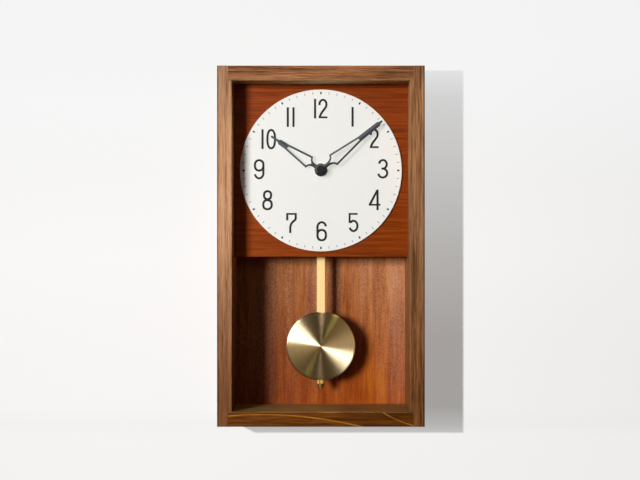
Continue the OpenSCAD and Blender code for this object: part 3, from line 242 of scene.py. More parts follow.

# %% [markdown]
# ## The side boards and the top board
# The sides stand and the top lies, so their grain runs along Z and along X. The same pattern is
# used with other tones, because each board took the stain in its own way. Three kinds of shade
# lie over the sides. A slow one along the board is painted shade, where the lamp's light falls
# off towards the foot. A dark line on the outer front arris is painted shade, where the rounded
# edge turns from the light. The third is a darker outer face. On the top board a slow shade paints
# the light falling off towards its ends, and its underside is painted paler than its other faces,
# as painted light under the board.

# %% Finishes of the sides and the top
# The arris ramp is painted shade: the rounded outer front edge, darker where it turns from the
# light.
PAINTED_ARRIS_SHADE = [(0.0, "#6A5A52"), (1.0, "#FFFFFF")]
OUTER_FACE = [(0.0, "#8C827C"), (1.0, "#FFFFFF")]
LEFT_TONES = [(0.0, "#885939"), (0.35, "#B38059"), (0.6, "#C69167"), (1.0, "#D7A67C")]
# The slow ramps are painted shade: the lamp's light falling off down the sides and towards the top
# board's ends.
LEFT_PAINTED_FALLOFF = [(0.06, "#97836C"), (0.17, "#AB9782"), (0.28, "#C2B5AD"), (0.39, "#E1DCDA"),
              (0.48, "#F3EFEA"), (0.59, "#FFFFFF"), (0.82, "#FCFBF6"), (0.95, "#DAD9DA")]
RIGHT_TONES = [(0.0, "#674225"), (0.35, "#91623B"), (0.6, "#A7744A"), (1.0, "#C28F60")]
RIGHT_PAINTED_FALLOFF = [(0.04, "#B5A486"), (0.25, "#C8BCAA"), (0.42, "#CFC7BF"), (0.6, "#E6E4EA"),
               (0.75, "#FFFFFF"), (0.93, "#FFFFFF"), (0.98, "#DAD6D8")]
TOP_TONES = [(0.0, "#694A2C"), (0.35, "#A37A50"), (0.6, "#C09766"), (1.0, "#E2B981")]
TOP_PAINTED_FALLOFF = [(0.0, "#F5F5F5"), (0.65, "#FFFFFF"), (1.0, "#DDDAD8")]
# The underside of the top board is painted paler than its other faces: painted light under the
# board.
TOP_UNDERSIDE_PAINTED_LIGHT = [(0.0, "#FFFFFF"), (1.0, "#D5B4A8")]
left_wood = stained_wood("stained_softwood_left", "Z", LEFT_TONES,
                         shades=[("Z", -350, 42, LEFT_PAINTED_FALLOFF), (-115, 0.4, 1.9, PAINTED_ARRIS_SHADE),
                                 ("X", -114.9, -114.5, OUTER_FACE)])[0]
right_wood = stained_wood("stained_softwood_right", "Z", RIGHT_TONES, offset=(31, 7, 90),
                          shades=[("Z", -350, 42, RIGHT_PAINTED_FALLOFF), (115, 0.4, 1.9, PAINTED_ARRIS_SHADE),
                                  ("X", 114.9, 114.5, OUTER_FACE)])[0]
top_wood = stained_wood("stained_softwood_top", "X", TOP_TONES, line=0.8, offset=(0, 13, 44),
                        shades=[("X", -115, 115, TOP_PAINTED_FALLOFF), ("Z", 25.7, 26.3, TOP_UNDERSIDE_PAINTED_LIGHT)])[0]
print("wood finishes", [wood.name for wood in (left_wood, right_wood, top_wood)])

# %% [markdown]
# ## The bottom board
# This board was cut closer to the face of the growth rings, so two pale rings cross its front
# edge in long slants instead of running straight. Each ring is a curve whose height is a
# quadratic of the place along the board, and it fades with the distance from the curve. The
# board's upper face is planed across them and shows none.

# %% The curve of a growth ring
RINGS = [((-349.19, -0.1443, -0.00111), 1.3), ((-273.93, -1.3702, 0.0055), 1.2)]


def ring_line(tree, parts, coefficients, width):
    """Brightness 1 on the curve z = a + b x + c x squared, in mm, fading over width mm."""
    a, b, c = coefficients
    x = add(tree, "Math", {"operation": "MULTIPLY", 1: 1 / MM}, {0: parts.outputs[0]})
    slope = add(tree, "Math", {"operation": "MULTIPLY_ADD", 1: c, 2: b}, {0: x.outputs[0]})
    curve = add(tree, "Math", {"operation": "MULTIPLY_ADD", 2: a},
                {0: x.outputs[0], 1: slope.outputs[0]})
    z = add(tree, "Math", {"operation": "MULTIPLY", 1: 1 / MM}, {0: parts.outputs[2]})
    away = add(tree, "Math", {"operation": "SUBTRACT"}, {0: z.outputs[0], 1: curve.outputs[0]})
    far = add(tree, "Math", {"operation": "ABSOLUTE"}, {0: away.outputs[0]})
    return add(tree, "MapRange", {"From Min": width, "From Max": 0.0,
                                  "interpolation_type": "SMOOTHSTEP"}, {"Value": far.outputs[0]})


print("heights of the rings at x = 80 mm:",
      [round(a + b * 80 + c * 80 ** 2, 1) for (a, b, c), width in RINGS])

# %% The bottom board's finish
BOTTOM_TONES = [(0.0, "#6E502A"), (0.35, "#987344"), (0.6, "#AC8852"), (1.0, "#C4A36A")]
# The upper face is painted paler and greyer than the darker orange front and hidden faces: painted
# light where the lamp grazes it.
BOTTOM_UPPER_FACE_PAINTED_LIGHT = [(0.0, "#A3742A"), (1.0, "#FFFFFF")]
BOTTOM_SHADE = [(0.0, "#FFFFFF"), (0.55, "#FFFFFF"), (0.65, "#DADADA"), (1.0, "#D4D4D4")]
RING_COLOUR = "#D98A2E"
RING_TOP = (-342.5, -341.9)  # mm: below the first the rings are full, above the second gone
UNEVEN = 18  # mm between the weak places of a ring
bottom_wood, tree, plain, place = stained_wood(
    "stained_softwood_bottom", "X", BOTTOM_TONES, streak=4, offset=(5, 3, 21), gloss=0.36,
    shades=[("Z", -342.3, -341.8, BOTTOM_UPPER_FACE_PAINTED_LIGHT), ("X", -100, 100, BOTTOM_SHADE)])
parts = add(tree, "SeparateXYZ", links={0: place})
first, second = (ring_line(tree, parts, curve, width) for curve, width in RINGS)
rings = add(tree, "Math", {"operation": "MAXIMUM"}, {0: first.outputs[0], 1: second.outputs[0]})
uneven = add(tree, "TexNoise", {"Scale": per(UNEVEN)}, {"Vector": place})
under_top = add(tree, "MapRange", {"From Min": RING_TOP[1] * MM, "From Max": RING_TOP[0] * MM},
                {"Value": parts.outputs[2]})
crossing = add(tree, "Math", {"operation": "MULTIPLY"},
               {0: rings.outputs[0], 1: under_top.outputs[0]})
amount = add(tree, "Math", {"operation": "MULTIPLY"},
             {0: crossing.outputs[0], 1: uneven.outputs["Fac"]})
ringed = add(tree, "Mix", {"data_type": "RGBA", 7: linear(RING_COLOUR)},
             {0: amount.outputs[0], 6: plain})
tree.links.new(ringed.outputs[2], tree.nodes["Principled BSDF"].inputs["Base Color"])
print(len(RINGS), "rings on", bottom_wood.name)

# %% [markdown]
# ## The dial board
# The dial board is thin plywood with a red-brown tropical face veneer. Its grain runs across, in
# fine even lines, and its colour turns from red-brown at the top to orange at the foot, a little
# darker towards the right. It is the same pattern as on the case, only finer and much longer
# along the grain.

# %% The dial board's veneer
BOARD_TONES = [(0.0, "#722C06"), (0.4, "#87380D"), (0.65, "#923E0F"), (1.0, "#A14915")]
BOARD_SHADE = [(0.0, "#FFFA2A"), (0.5, "#FFFC5E"), (1.0, "#FFFFFF")]
BOARD_SIDE = [(0.0, "#FFFFFF"), (1.0, "#EBEBEB")]
board_veneer = stained_wood("stained_veneer_across", "X", BOARD_TONES, streak=2.6, line=0.8,
                            length=60, wander=1.0, gloss=0.36,
                            shades=[("Z", -170, 25, BOARD_SHADE),
                                    ("X", -80, 30, BOARD_SIDE)])[0]
print("veneer", board_veneer.name)

# %% [markdown]
# ## The back panel
# The panel behind the pendulum has the same veneer with its grain upright. It is rough sawn, so
# its open pores catch the light as a pale speckle, which lies in upright bands. A fine noise
# makes the pores and a wide one, stretched upwards, the bands: their product is the speckle. It
# is stronger higher up, where the light grazes the panel. The wood that nobody sees, such as the
# cleats and the hanging rail, is plain planed pine.

# %% The back panel's veneer
PANEL_TONES = [(0.0, "#985221"), (0.4, "#B06831"), (0.65, "#BD7641"), (1.0, "#CB8758")]
PANEL_SHADE = [(0.0, "#E6B62A"), (0.4, "#E3C26E"), (1.0, "#FFFFFF")]
# Painted shade: the panel is darker towards the left, deepening the left side's shadow on it.
PANEL_LEFT_PAINTED_SHADE = [(0.0, "#CEC2B4"), (0.35, "#DED7D0"), (0.7, "#E9DFDE"), (1.0, "#FFFFFF")]
BAND = 15  # mm, the width of a band
BAND_SQUEEZE = 0.03  # of the pattern's height, so a band is 500 mm long
PORE = 1.3  # mm: a pore is about 0.3 mm wide, and is drawn wider so that it shows
SPECKLE_RISE = (-0.34, -0.2)  # the heights in m between which the speckle grows
panel_veneer, tree, plain, place = stained_wood(
    "stained_veneer_upright", "Z", PANEL_TONES, streak=9, line=1.6, length=14, wander=2.0,
    mix=0.4, gloss=0.45, shades=[("Z", -340, -190, PANEL_SHADE), ("X", -60, 63, PANEL_LEFT_PAINTED_SHADE)])
bands = add(tree, "Mapping", {"Scale": (1, 1, BAND_SQUEEZE)}, {"Vector": place})
band = add(tree, "TexNoise", {"Scale": per(BAND), "Detail": 2.0}, {"Vector": bands.outputs[0]})
pores = add(tree, "TexNoise", {"Scale": per(PORE), "Detail": 2.0, "Roughness": 0.7},
            {"Vector": place})
speckle = add(tree, "Math", {"operation": "MULTIPLY"},
              {0: band.outputs["Fac"], 1: pores.outputs["Fac"]})
parts = add(tree, "SeparateXYZ", links={0: place})
strongest = add(tree, "MapRange", {"From Min": SPECKLE_RISE[0], "From Max": SPECKLE_RISE[1],
                                   "To Min": 0.12, "To Max": 0.5}, {"Value": parts.outputs[2]})
pale = add(tree, "MapRange", {"From Min": 0.22, "From Max": 0.42},
           {"Value": speckle.outputs[0], "To Max": strongest.outputs[0]})
hazed = add(tree, "Mix", {"data_type": "RGBA", 7: linear("#CFA48A")},
            {0: pale.outputs[0], 6: plain})
tree.links.new(hazed.outputs[2], tree.nodes["Principled BSDF"].inputs["Base Color"])
print("veneer", panel_veneer.name, "with pores of", PORE, "mm")

# %% Plain pine behind
PINE_TONES = [(0.0, "#B98F5C"), (0.5, "#D2AC78"), (1.0, "#E3C595")]
hidden_wood = stained_wood("planed_pine", "Z", PINE_TONES, streak=6, gloss=0.6)[0]
print("wood", hidden_wood.name)

# %% [markdown]
# ## Dial and print
# The dial is sheet metal with a matt off-white lacquer, printed in near-black ink. Lacquer has a
# slight orange peel that softens its reflections. The minute marks are printed in thin strokes,
# which look grey because they are narrower than the eye resolves. One function makes all such
# even coats: a colour that drifts a little, over a skin of very low bumps.

# %% An even coat
DRIFT_GRAINS = 12  # the colour drifts over this many bumps
GLOSS_SPREAD = 0.06  # how far the roughness strays either way


def even_coat(name, colour, rough, grain, depth, vary=0.04, **sockets):
    """One colour that drifts by the share vary, over a skin of bumps that are grain mm wide and
    depth mm high."""
    finish, tree, shader = start(name, **sockets)
    place = add(tree, "TexCoord").outputs["Object"]
    drift = add(tree, "TexNoise", {"Scale": per(grain * DRIFT_GRAINS), "Detail": 2.0},
                {"Vector": place})
    base = np.array(linear(colour))
    low = [*(base[:3] * (1 - vary)).tolist(), 1.0]
    high = [*np.minimum(base[:3] * (1 + vary), 1).tolist(), 1.0]
    coat = add(tree, "Mix", {"data_type": "RGBA", 6: low, 7: high}, {0: drift.outputs["Fac"]})
    tree.links.new(coat.outputs[2], shader.inputs["Base Color"])
    skin = add(tree, "TexNoise", {"Scale": per(grain), "Detail": 2.0}, {"Vector": place})
    gloss = add(tree, "MapRange", {"To Min": rough - GLOSS_SPREAD, "To Max": rough + GLOSS_SPREAD},
                {"Value": skin.outputs["Fac"]})
    tree.links.new(gloss.outputs[0], shader.inputs["Roughness"])
    bump = add(tree, "Bump", {"Strength": 0.4, "Distance": depth * MM},
               {"Height": skin.outputs["Fac"]})
    tree.links.new(bump.outputs[0], shader.inputs["Normal"])
    return finish


dial_lacquer = even_coat("matt_dial_lacquer", "#F3F2ED", 0.6, 0.8, 0.01, vary=0.01,
                         Specular_IOR_Level=0.3)
ink = even_coat("printing_ink", "#1F2022", 0.55, 0.4, 0.01, Specular_IOR_Level=0.2)
fine_ink = even_coat("printing_ink_fine", "#8E8E8C", 0.55, 0.4, 0.01, Specular_IOR_Level=0.3)
print("dial coats", dial_lacquer.name, ink.name, fine_ink.name)

# %% [markdown]
# ## The hands
# The hands are punched from sheet and pressed to a low roof, then painted a blue-black satin.
# The roof is only about 0.3 mm high, so it is left out of the CAD model and made here as a bump:
# the distance from a hand's ridge is the height to fall. That lets one slope catch the light
# while the other stays dark. Near the centre, under the nut, the hands are darker. The nut itself
# is blackened steel.

# %% Measures of the hands
SHOWN_HOUR, SHOWN_MINUTE = 10, 8.57
ROOF_SLOPE = 0.22
DARK_FROM, DARK_TO, DARK_SHARE = 22, 7, 0.28  # mm from the centre, and the colour left there
nut_low, nut_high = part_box("hand_nut")
HANDS_Z = (nut_low[2] + nut_high[2]) / 2
minute_angle = 6 * SHOWN_MINUTE
hour_angle = 30 * SHOWN_HOUR + SHOWN_MINUTE / 2
print("hands at", round(minute_angle, 1), "and", round(hour_angle, 1), "degrees from upright")


# %% The hands' paint
def hand_finish(name, clock_angle):
    """Slate paint on a low roof, whose ridge runs from the centre at this angle in degrees
    clockwise from upright. Its height falls by ROOF_SLOPE of the distance from the ridge, which
    is the dot product of the place with the direction square to the ridge."""
    finish = even_coat(name, "#3A4049", 0.42, 0.5, 0.01)
    tree = finish.node_tree
    shader = tree.nodes["Principled BSDF"]
    place = add(tree, "TexCoord").outputs["Object"]
    flat = add(tree, "VectorMath", {"operation": "MULTIPLY_ADD", 1: (1, 0, 1),
                                    2: (0, 0, -HANDS_Z)}, {0: place})
    away = add(tree, "VectorMath", {"operation": "LENGTH"}, {0: flat.outputs[0]})
    near = add(tree, "MapRange", {"From Min": DARK_TO * MM, "From Max": DARK_FROM * MM,
                                  "To Min": DARK_SHARE}, {"Value": away.outputs["Value"]})
    paint = shader.inputs["Base Color"].links[0].from_socket
    darker = add(tree, "VectorMath", {"operation": "SCALE"},
                 {0: paint, "Scale": near.outputs[0]})
    tree.links.new(darker.outputs[0], shader.inputs["Base Color"])
    turn = np.radians(clock_angle)
    square_to_ridge = (np.cos(turn), 0, -np.sin(turn))
    beside = add(tree, "VectorMath", {"operation": "DOT_PRODUCT", 1: square_to_ridge},
                 {0: flat.outputs[0]})
    fall = add(tree, "Math", {"operation": "ABSOLUTE"}, {0: beside.outputs["Value"]})
    roof = add(tree, "Bump", {"invert": True, "Strength": 1.0, "Distance": ROOF_SLOPE},
               {"Height": fall.outputs[0]})
    skin = shader.inputs["Normal"].links[0].from_node
    tree.links.new(roof.outputs[0], skin.inputs["Normal"])
    return finish


minute_paint = hand_finish("satin_minute_hand_paint", minute_angle)
hour_paint = hand_finish("satin_hour_hand_paint", hour_angle)
nut_steel = even_coat("blackened_steel", "#12171F", 0.45, 0.5, 0.01, Specular_IOR_Level=0.2)
print("hand coats", minute_paint.name, hour_paint.name, nut_steel.name)

# %% [markdown]
# ## Plastics and other small stuff
# The movement and the pendulum drive sit in moulded housings on the back of the dial board. Most
# of what is in them never shows, but each piece still gets the finish of its real stuff, made
# with the same even coat.

# %% Moulded and pressed finishes
# Black ABS is moulded against an eroded steel face, so its highlights are broad and soft.
black_plastic = even_coat("moulded_black_abs", "#1C1C1E", 0.5, 0.35, 0.03)
# Acetal looks waxy, because light enters it a little way.
white_plastic = even_coat("moulded_white_acetal", "#E4E2DA", 0.38, 0.4, 0.01,
                          Subsurface_Weight=0.1, Subsurface_Scale=0.002)
# A cell's sleeve is shrunk film, whose clear outer layer gives a second, sharper highlight.
cell_sleeve = even_coat("shrunk_cell_sleeve", "#2B2E33", 0.28, 0.6, 0.01, Coat_Weight=0.4)
# Ferrite is pressed and fired powder: dull and dark grey.
magnet_grey = even_coat("pressed_ferrite", "#4A4A4C", 0.6, 0.3, 0.03)
# Solder mask is a glossy green lacquer over glass cloth.
circuit_green = even_coat("solder_mask_green", "#1F5C3A", 0.35, 0.6, 0.01, Coat_Weight=0.3)
print("moulded", [coat.name for coat in (black_plastic, white_plastic, cell_sleeve, magnet_grey,
                                         circuit_green)])

# %% [markdown]
# ## Metals
# The rod is flat brass strip with a fine lengthwise brushing, under a pale gold lacquer thick
# enough to scatter light itself, so only a share of it shines as metal. The other metals are
# rolled, drawn, plated or turned, and all of them keep marks of the tool. One function draws
# these marks as a noise that can be stretched upright, and lets them change the colour, the
# gloss and the height together, as real scratches do.


# %% Brushed and plated finishes
def brushed(name, colour, rough, across, along, dark=0.85, depth=0.02, **sockets):
    """Brush marks are noise whose cells are across mm wide and along times longer upright. The
    colour falls to the share dark in them, and they are depth mm deep."""
    finish, tree, shader = start(name, **{"Metallic": 1.0, **sockets})
    place = add(tree, "TexCoord").outputs["Object"]
    drawn = add(tree, "Mapping", {"Scale": (1, 1, 1 / along)}, {"Vector": place})
    marks = add(tree, "TexNoise", {"Scale": per(across), "Detail": 3.0, "Roughness": 0.6},
                {"Vector": drawn.outputs[0]})
    base = np.array(linear(colour))
    metal = add(tree, "Mix", {"data_type": "RGBA", 6: [*(base[:3] * dark).tolist(), 1.0],
                              7: base.tolist()}, {0: marks.outputs["Fac"]})
    tree.links.new(metal.outputs[2], shader.inputs["Base Color"])
    gloss = add(tree, "MapRange", {"To Min": rough - 0.06, "To Max": rough + 0.08},
                {"Value": marks.outputs["Fac"]})
    tree.links.new(gloss.outputs[0], shader.inputs["Roughness"])
    bump = add(tree, "Bump", {"Strength": 0.3, "Distance": depth * MM},
               {"Height": marks.outputs["Fac"]})
    tree.links.new(bump.outputs[0], shader.inputs["Normal"])
    return finish


rod_brass = brushed("gold_lacquered_strip", "#F4D79A", 0.5, 0.5, 30, Metallic=0.7)
nut_brass = brushed("turned_brass_bar", "#C9A963", 0.36, 0.5, 1, depth=0.003)
# Zinc plate is a pale grey metal, slightly blotched by its crystals.
zinc_steel = brushed("zinc_plated_steel", "#C9CBCD", 0.35, 2.0, 1)
# Rolled iron keeps faint lines along the strip.
soft_iron = brushed("rolled_soft_iron", "#8C8E92", 0.45, 1.0, 8)
# Magnet wire is bright copper under a clear amber enamel.
copper_wire = brushed("enamelled_copper_wire", "#C46A36", 0.3, 0.3, 1, Coat_Weight=0.5)
print("metals", [metal.name for metal in (rod_brass, nut_brass, zinc_steel, soft_iron,
                                          copper_wire)])

# %% [markdown]
# ## The rating nut's collar
# The nut's knurled rim is bright, while the narrow collar below and the end of the stud are
# drawn darker. A painted mask would need unwrapping. The height tells the rim and the collar
# apart as well, so a factor that drops with the height darkens the same brass.

# %% Darker below the rim
COLLAR_TOP = (0.46, 0.54)  # shares of the nut's height between which the brass turns bright
COLLAR_DARK_SHARE = 0.25
foot, rim = (corner[2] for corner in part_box("rating_nut"))
tree = nut_brass.node_tree
shader = tree.nodes["Principled BSDF"]
place = add(tree, "TexCoord").outputs["Object"]
parts = add(tree, "SeparateXYZ", links={0: place})
rim_share = add(tree, "MapRange", {"From Min": foot + COLLAR_TOP[0] * (rim - foot), "To Min": COLLAR_DARK_SHARE,
                               "From Max": foot + COLLAR_TOP[1] * (rim - foot)},
            {"Value": parts.outputs[2]})
bright = shader.inputs["Base Color"].links[0].from_socket
collar_darkened = add(tree, "VectorMath", {"operation": "SCALE"},
                {0: bright, "Scale": rim_share.outputs[0]})
tree.links.new(collar_darkened.outputs[0], shader.inputs["Base Color"])
print("the nut is", round((rim - foot) / MM, 1), "mm high")

# %% [markdown]
# ## Dress the CAD model
# Each CAD node has a slot that is named for its stuff, so one table turns slots into finishes. A
# second table holds the nodes that differ from their slot: boards that took the stain in their
# own way and carry their own painted light and shade, each painted hand with its own ridge, and
# the brass that is darker below the nut's rim.

# %% Give every CAD node its finish
finish_of_slot = {"case_wood": top_wood, "board_wood": board_veneer, "panel_wood": panel_veneer,
                  "hidden_wood": hidden_wood, "zinc_steel": zinc_steel,
                  "dial_white": dial_lacquer, "ink": ink, "hand_paint": nut_steel,
                  "black_plastic": black_plastic, "white_plastic": white_plastic,
                  "brass": rod_brass, "turned_brass": nut_brass, "copper_wire": copper_wire,
                  "circuit_green": circuit_green, "cell_jacket": cell_sleeve,
                  "magnet_grey": magnet_grey, "soft_iron": soft_iron}
finish_of_node = {"left_side": left_wood, "right_side": right_wood, "top_board": top_wood,
                  "bottom_board": bottom_wood, "minute_marks": fine_ink,
                  "hour_hand": hour_paint, "minute_hand": minute_paint,
                  "rating_nut": nut_brass, "rod_stud": nut_brass}
for name, piece in nodes.items():
    finish = finish_of_node.get(name, finish_of_slot[slot_of[name]])
    for i in range(len(piece.material_slots)):
        piece.material_slots[i].material = finish
    if not piece.material_slots:
        piece.data.materials.append(finish)
print("finished", len(nodes), "nodes")

# %% [markdown]
# ## The bob's face
# The bob's face is a shallow pressed disc of sheet brass: slightly domed over most of its width,
# with an edge that rolls back to a short skirt. A cylinder would have a sharp edge and a flat
# face, so the face is a profile turned round the bob's axis. The profile runs from the middle
# outwards, round the edge and back along the skirt.

# %% The profile
low, high = (np.array(corner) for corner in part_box("bob_front"))
centre = np.array([(low[0] + high[0]) / 2, 0, low[2] + (high[0] - low[0]) / 2])
RADIUS, SHEET = (high[0] - low[0]) / 2, 1.2 * MM
EDGE, DROP, DOME = 1.1 * MM, 0.6 * MM, 1.2 * MM  # width and depth of the edge, height of the dome
FLAT_POINTS, ROLL_POINTS, SKIRT_POINTS = 26, 21, 6  # closest where the edge rolls
flat = np.linspace(0, RADIUS - EDGE, FLAT_POINTS)
roll = np.linspace(0, np.pi / 2, ROLL_POINTS + 1)[1:]
skirt = np.linspace(low[1] + DOME + DROP, high[1], SKIRT_POINTS + 1)[1:]
radii = np.concatenate([flat, RADIUS - EDGE + EDGE * np.sin(roll), np.full(SKIRT_POINTS, RADIUS)])
depths = np.concatenate([low[1] + DOME * (flat / flat[-1]) ** 2,
                         low[1] + DOME + DROP * (1 - np.cos(roll)), skirt])
print("profile of", len(radii), "points,", round(RADIUS / MM, 1), "mm in radius")

# %% [markdown]
# ## Turning the profile
# The skirt is open at the top, where the rod passes in. Cutting finished faces would leave ragged
# edges. So the columns of the grid are laid with one on each side of that slot, and the skirt's
# faces between these two are left out.

# %% Turn it round the axis
SLOT = 4.75 * MM  # half the width of the slot
SLOT_COLUMNS, OTHER_COLUMNS = 12, 308
slot_angle = np.arcsin(SLOT / RADIUS)
around = np.concatenate([
    np.linspace(-slot_angle, slot_angle, SLOT_COLUMNS + 1)[:-1],
    np.linspace(slot_angle, 2 * np.pi - slot_angle, OTHER_COLUMNS + 1)[:-1]])


def turned_grid(radii, depths, around):
    """Points at radius r and depth y, turned by each angle a from upright: x = r sin a and
    z = r cos a. The first row is the pole, one point. Returns points and rows of point numbers."""
    x = radii[1:, None] * np.sin(around)
    z = radii[1:, None] * np.cos(around)
    y = np.broadcast_to(depths[1:, None], x.shape)
    circles = np.stack([x, y, z], -1).reshape(-1, 3)
    points = np.concatenate([[[0, depths[0], 0]], circles])
    return points, 1 + np.arange(x.size).reshape(x.shape)


points, rows = turned_grid(radii, depths, around)
points += centre
print(len(points), "points in", len(rows), "circles")

# %% Faces, left out where the slot is
nexts = np.roll(rows, -1, axis=1)
quads = np.stack([rows[:-1], rows[1:], nexts[1:], nexts[:-1]], -1)
in_slot = (np.arange(len(around)) < SLOT_COLUMNS)[None, :] & (radii[2:, None] >= RADIUS - 1e-6)
kept = ~in_slot
fan = np.stack([np.zeros(len(around), int), rows[0], nexts[0]], -1)
faces = [*fan.tolist(), *quads[kept].tolist()]
face_mesh = bpy.data.meshes.new("bob_face")
face_mesh.from_pydata(points.tolist(), [], faces)
face_mesh.polygons.foreach_set("use_smooth", [True] * len(faces))
print(len(faces), "faces, with", int(in_slot.sum()), "left out for the rod")

# %% [markdown]
# ## A map that runs round the disc
# The bob is faced on a lathe, so its marks are circles: light that falls on it spreads across the
# marks and shows as bright fans from the centre. The shader makes that spread with anisotropy,
# which needs to know which way the marks run at each point. The piece's own UV map tells it: U is
# the turn round the axis and V is the length along the profile, so the marks run along U.

# %% Unroll the face
turns = np.append(around, around[0] + 2 * np.pi) / (2 * np.pi)
lengths = np.concatenate([[0], np.cumsum(np.hypot(np.diff(radii), np.diff(depths)))])
left = np.broadcast_to(turns[:-1], quads.shape[:2])
right = np.broadcast_to(turns[1:], quads.shape[:2])
inner = np.broadcast_to(lengths[1:-1, None], quads.shape[:2])
outer = np.broadcast_to(lengths[2:, None], quads.shape[:2])
quad_uv = np.stack([np.stack([left, inner], -1), np.stack([left, outer], -1),
                    np.stack([right, outer], -1), np.stack([right, inner], -1)], 2)[kept]
fan_uv = np.stack([np.stack([(turns[:-1] + turns[1:]) / 2, np.zeros(len(around))], -1),
                   np.stack([turns[:-1], np.full(len(around), lengths[1])], -1),
                   np.stack([turns[1:], np.full(len(around), lengths[1])], -1)], 1)
layer = face_mesh.uv_layers.new(name="turning")
layer.data.foreach_set("uv", np.concatenate([fan_uv.reshape(-1), quad_uv.reshape(-1)]))
print("the profile is", round(lengths[-1] / MM, 1), "mm long")

# %% [markdown]
# ## Turned brass
# The tone changes from cut to cut, and not along a cut, so the noise is squeezed along V and
# drawn out along U. The face then takes the place of its CAD solid and rides on the same body.

# %% Its finish
TURNING_GRAIN = 0.7  # mm: facing cuts are 0.1 mm apart, and are drawn wider so that some show
turned_brass, tree, shader = start("turned_brass_face", Metallic=1.0, Anisotropic=1.0,
                                   Anisotropic_Rotation=0.25, Roughness=0.31)
round_about = add(tree, "Tangent", {"direction_type": "UV_MAP", "uv_map": "turning"})
tree.links.new(round_about.outputs[0], shader.inputs["Tangent"])
unrolled = add(tree, "UVMap", {"uv_map": "turning"})
cuts = add(tree, "Mapping", {"Scale": (2.0, per(TURNING_GRAIN), 0)},
           {"Vector": unrolled.outputs[0]})
groove = add(tree, "TexNoise", {"Scale": 1.0, "Detail": 3.0, "Roughness": 0.6},
             {"Vector": cuts.outputs[0]})
tone = add(tree, "Mix", {"data_type": "RGBA", 6: linear("#C4B18C"), 7: linear("#E0D0AE")},
           {0: groove.outputs["Fac"]})
tree.links.new(tone.outputs[2], shader.inputs["Base Color"])
face_mesh.materials.append(turned_brass)
print("finish", turned_brass.name)

# %% Give it its thickness and hang it on the bob
bob_face = bpy.data.objects.new("bob_face", face_mesh)
bpy.context.scene.collection.objects.link(bob_face)
sheet = bob_face.modifiers.new("sheet", "SOLIDIFY")
sheet.thickness, sheet.offset = SHEET, -1.0
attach(bob_face, "bob")
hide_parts("bob_front")
print("sheet of", round(SHEET / MM, 1), "mm rides on the bob")

# %% [markdown]
# ## The wall
# The clock hangs on a white plastered wall. The wall is a backdrop, not part of the clock, so one
# large square is enough. It casts no shadow, so that lamps behind it can light the clock's back.

# %% Make the wall
WALL = 4.0
WALL_MIDDLE = (0, 0.4 * MM, -0.16)
wall_mesh = bpy.data.meshes.new("wall")
corners = np.array([[-1, 0, -1], [1, 0, -1], [1, 0, 1], [-1, 0, 1]]) * WALL / 2
wall_mesh.from_pydata((corners + WALL_MIDDLE).tolist(), [], [(0, 1, 2, 3)])
wall_plane = bpy.data.objects.new("wall", wall_mesh)
bpy.context.scene.collection.objects.link(wall_plane)
wall_plane.visible_shadow = False
print("wall", WALL, "m wide")

# %% [markdown]
# ## Plaster
# Plaster is matt and a little rough. The wall shows evenly pale over its height, but the clock's
# shadow on it is dark low down and pale higher up. So the wall's white has two parts: a colour
# that the lamp lights, which falls with the height, and a glow, which rises as much. In the
# shadow only the glow is left.

# %% The colour that the lamp lights
RAMP_HEIGHTS = (-0.38, 0.05)  # m, where both ramps begin and end
CAST, CAST_DEPTH = 5, 0.3  # mm, the plaster's grain and its depth
plaster, tree, shader = start("white_plaster", Roughness=0.9, Specular_IOR_Level=0.1)
wall_mesh.materials.append(plaster)
place = add(tree, "TexCoord").outputs["Object"]
parts = add(tree, "SeparateXYZ", links={0: place})
height = add(tree, "MapRange", {"From Min": RAMP_HEIGHTS[0], "From Max": RAMP_HEIGHTS[1]},
             {"Value": parts.outputs[2]})
lit = add(tree, "ValToRGB", links={"Fac": height.outputs[0]},
          stops=[(0.0, "#B8B8B8"), (0.03, "#D0D0D0"), (0.08, "#EAEAEA"), (0.27, "#E9E9E9"),
                 (0.49, "#DCDCDC"), (0.71, "#C3C3C3"), (0.92, "#ACACAC"), (1.0, "#808080")])
tree.links.new(lit.outputs["Color"], shader.inputs["Base Color"])
rough_cast = add(tree, "TexNoise", {"Scale": per(CAST), "Detail": 5.0}, {"Vector": place})
bump = add(tree, "Bump", {"Strength": 0.2, "Distance": CAST_DEPTH * MM},
           {"Height": rough_cast.outputs["Fac"]})
tree.links.new(bump.outputs[0], shader.inputs["Normal"])
print("plaster with a grain of", CAST, "mm")

# %% [markdown]
# ## The wall's glow
# The glow reaches only the rays of the camera and those that mirror or pass through, which Light
# Path tells apart, so it puts no light on the clock. Right behind the clock the wall is in the
# dark, as the service window shows from below, so there the glow stops. From behind, the wall is
# seen through.

# %% Where it glows
glow = add(tree, "ValToRGB", links={"Fac": height.outputs[0]},
           stops=[(0.0, "#C7C6C5"), (0.03, "#B4B2B0"), (0.08, "#A09E9C"), (0.27, "#A29E9C"),
                  (0.49, "#B0AEAC"), (0.71, "#C1C0BF"), (0.92, "#D0D0D0"), (1.0, "#E2E2E2")])
rays = add(tree, "LightPath")
straight = add(tree, "Math", {"operation": "MAXIMUM"},
               {0: rays.outputs["Is Camera Ray"], 1: rays.outputs["Is Glossy Ray"]})
looked_at = add(tree, "Math", {"operation": "MAXIMUM"},
                {0: straight.outputs[0], 1: rays.outputs["Is Transmission Ray"]})
clock_middle = (cad_box[0][2] + cad_box[1][2]) / 2
beside = add(tree, "VectorMath", {"operation": "ADD", 1: (0, 0, -clock_middle)}, {0: place})
off_middle = add(tree, "VectorMath", {"operation": "ABSOLUTE"}, {0: beside.outputs[0]})
off = add(tree, "SeparateXYZ", links={0: off_middle.outputs[0]})
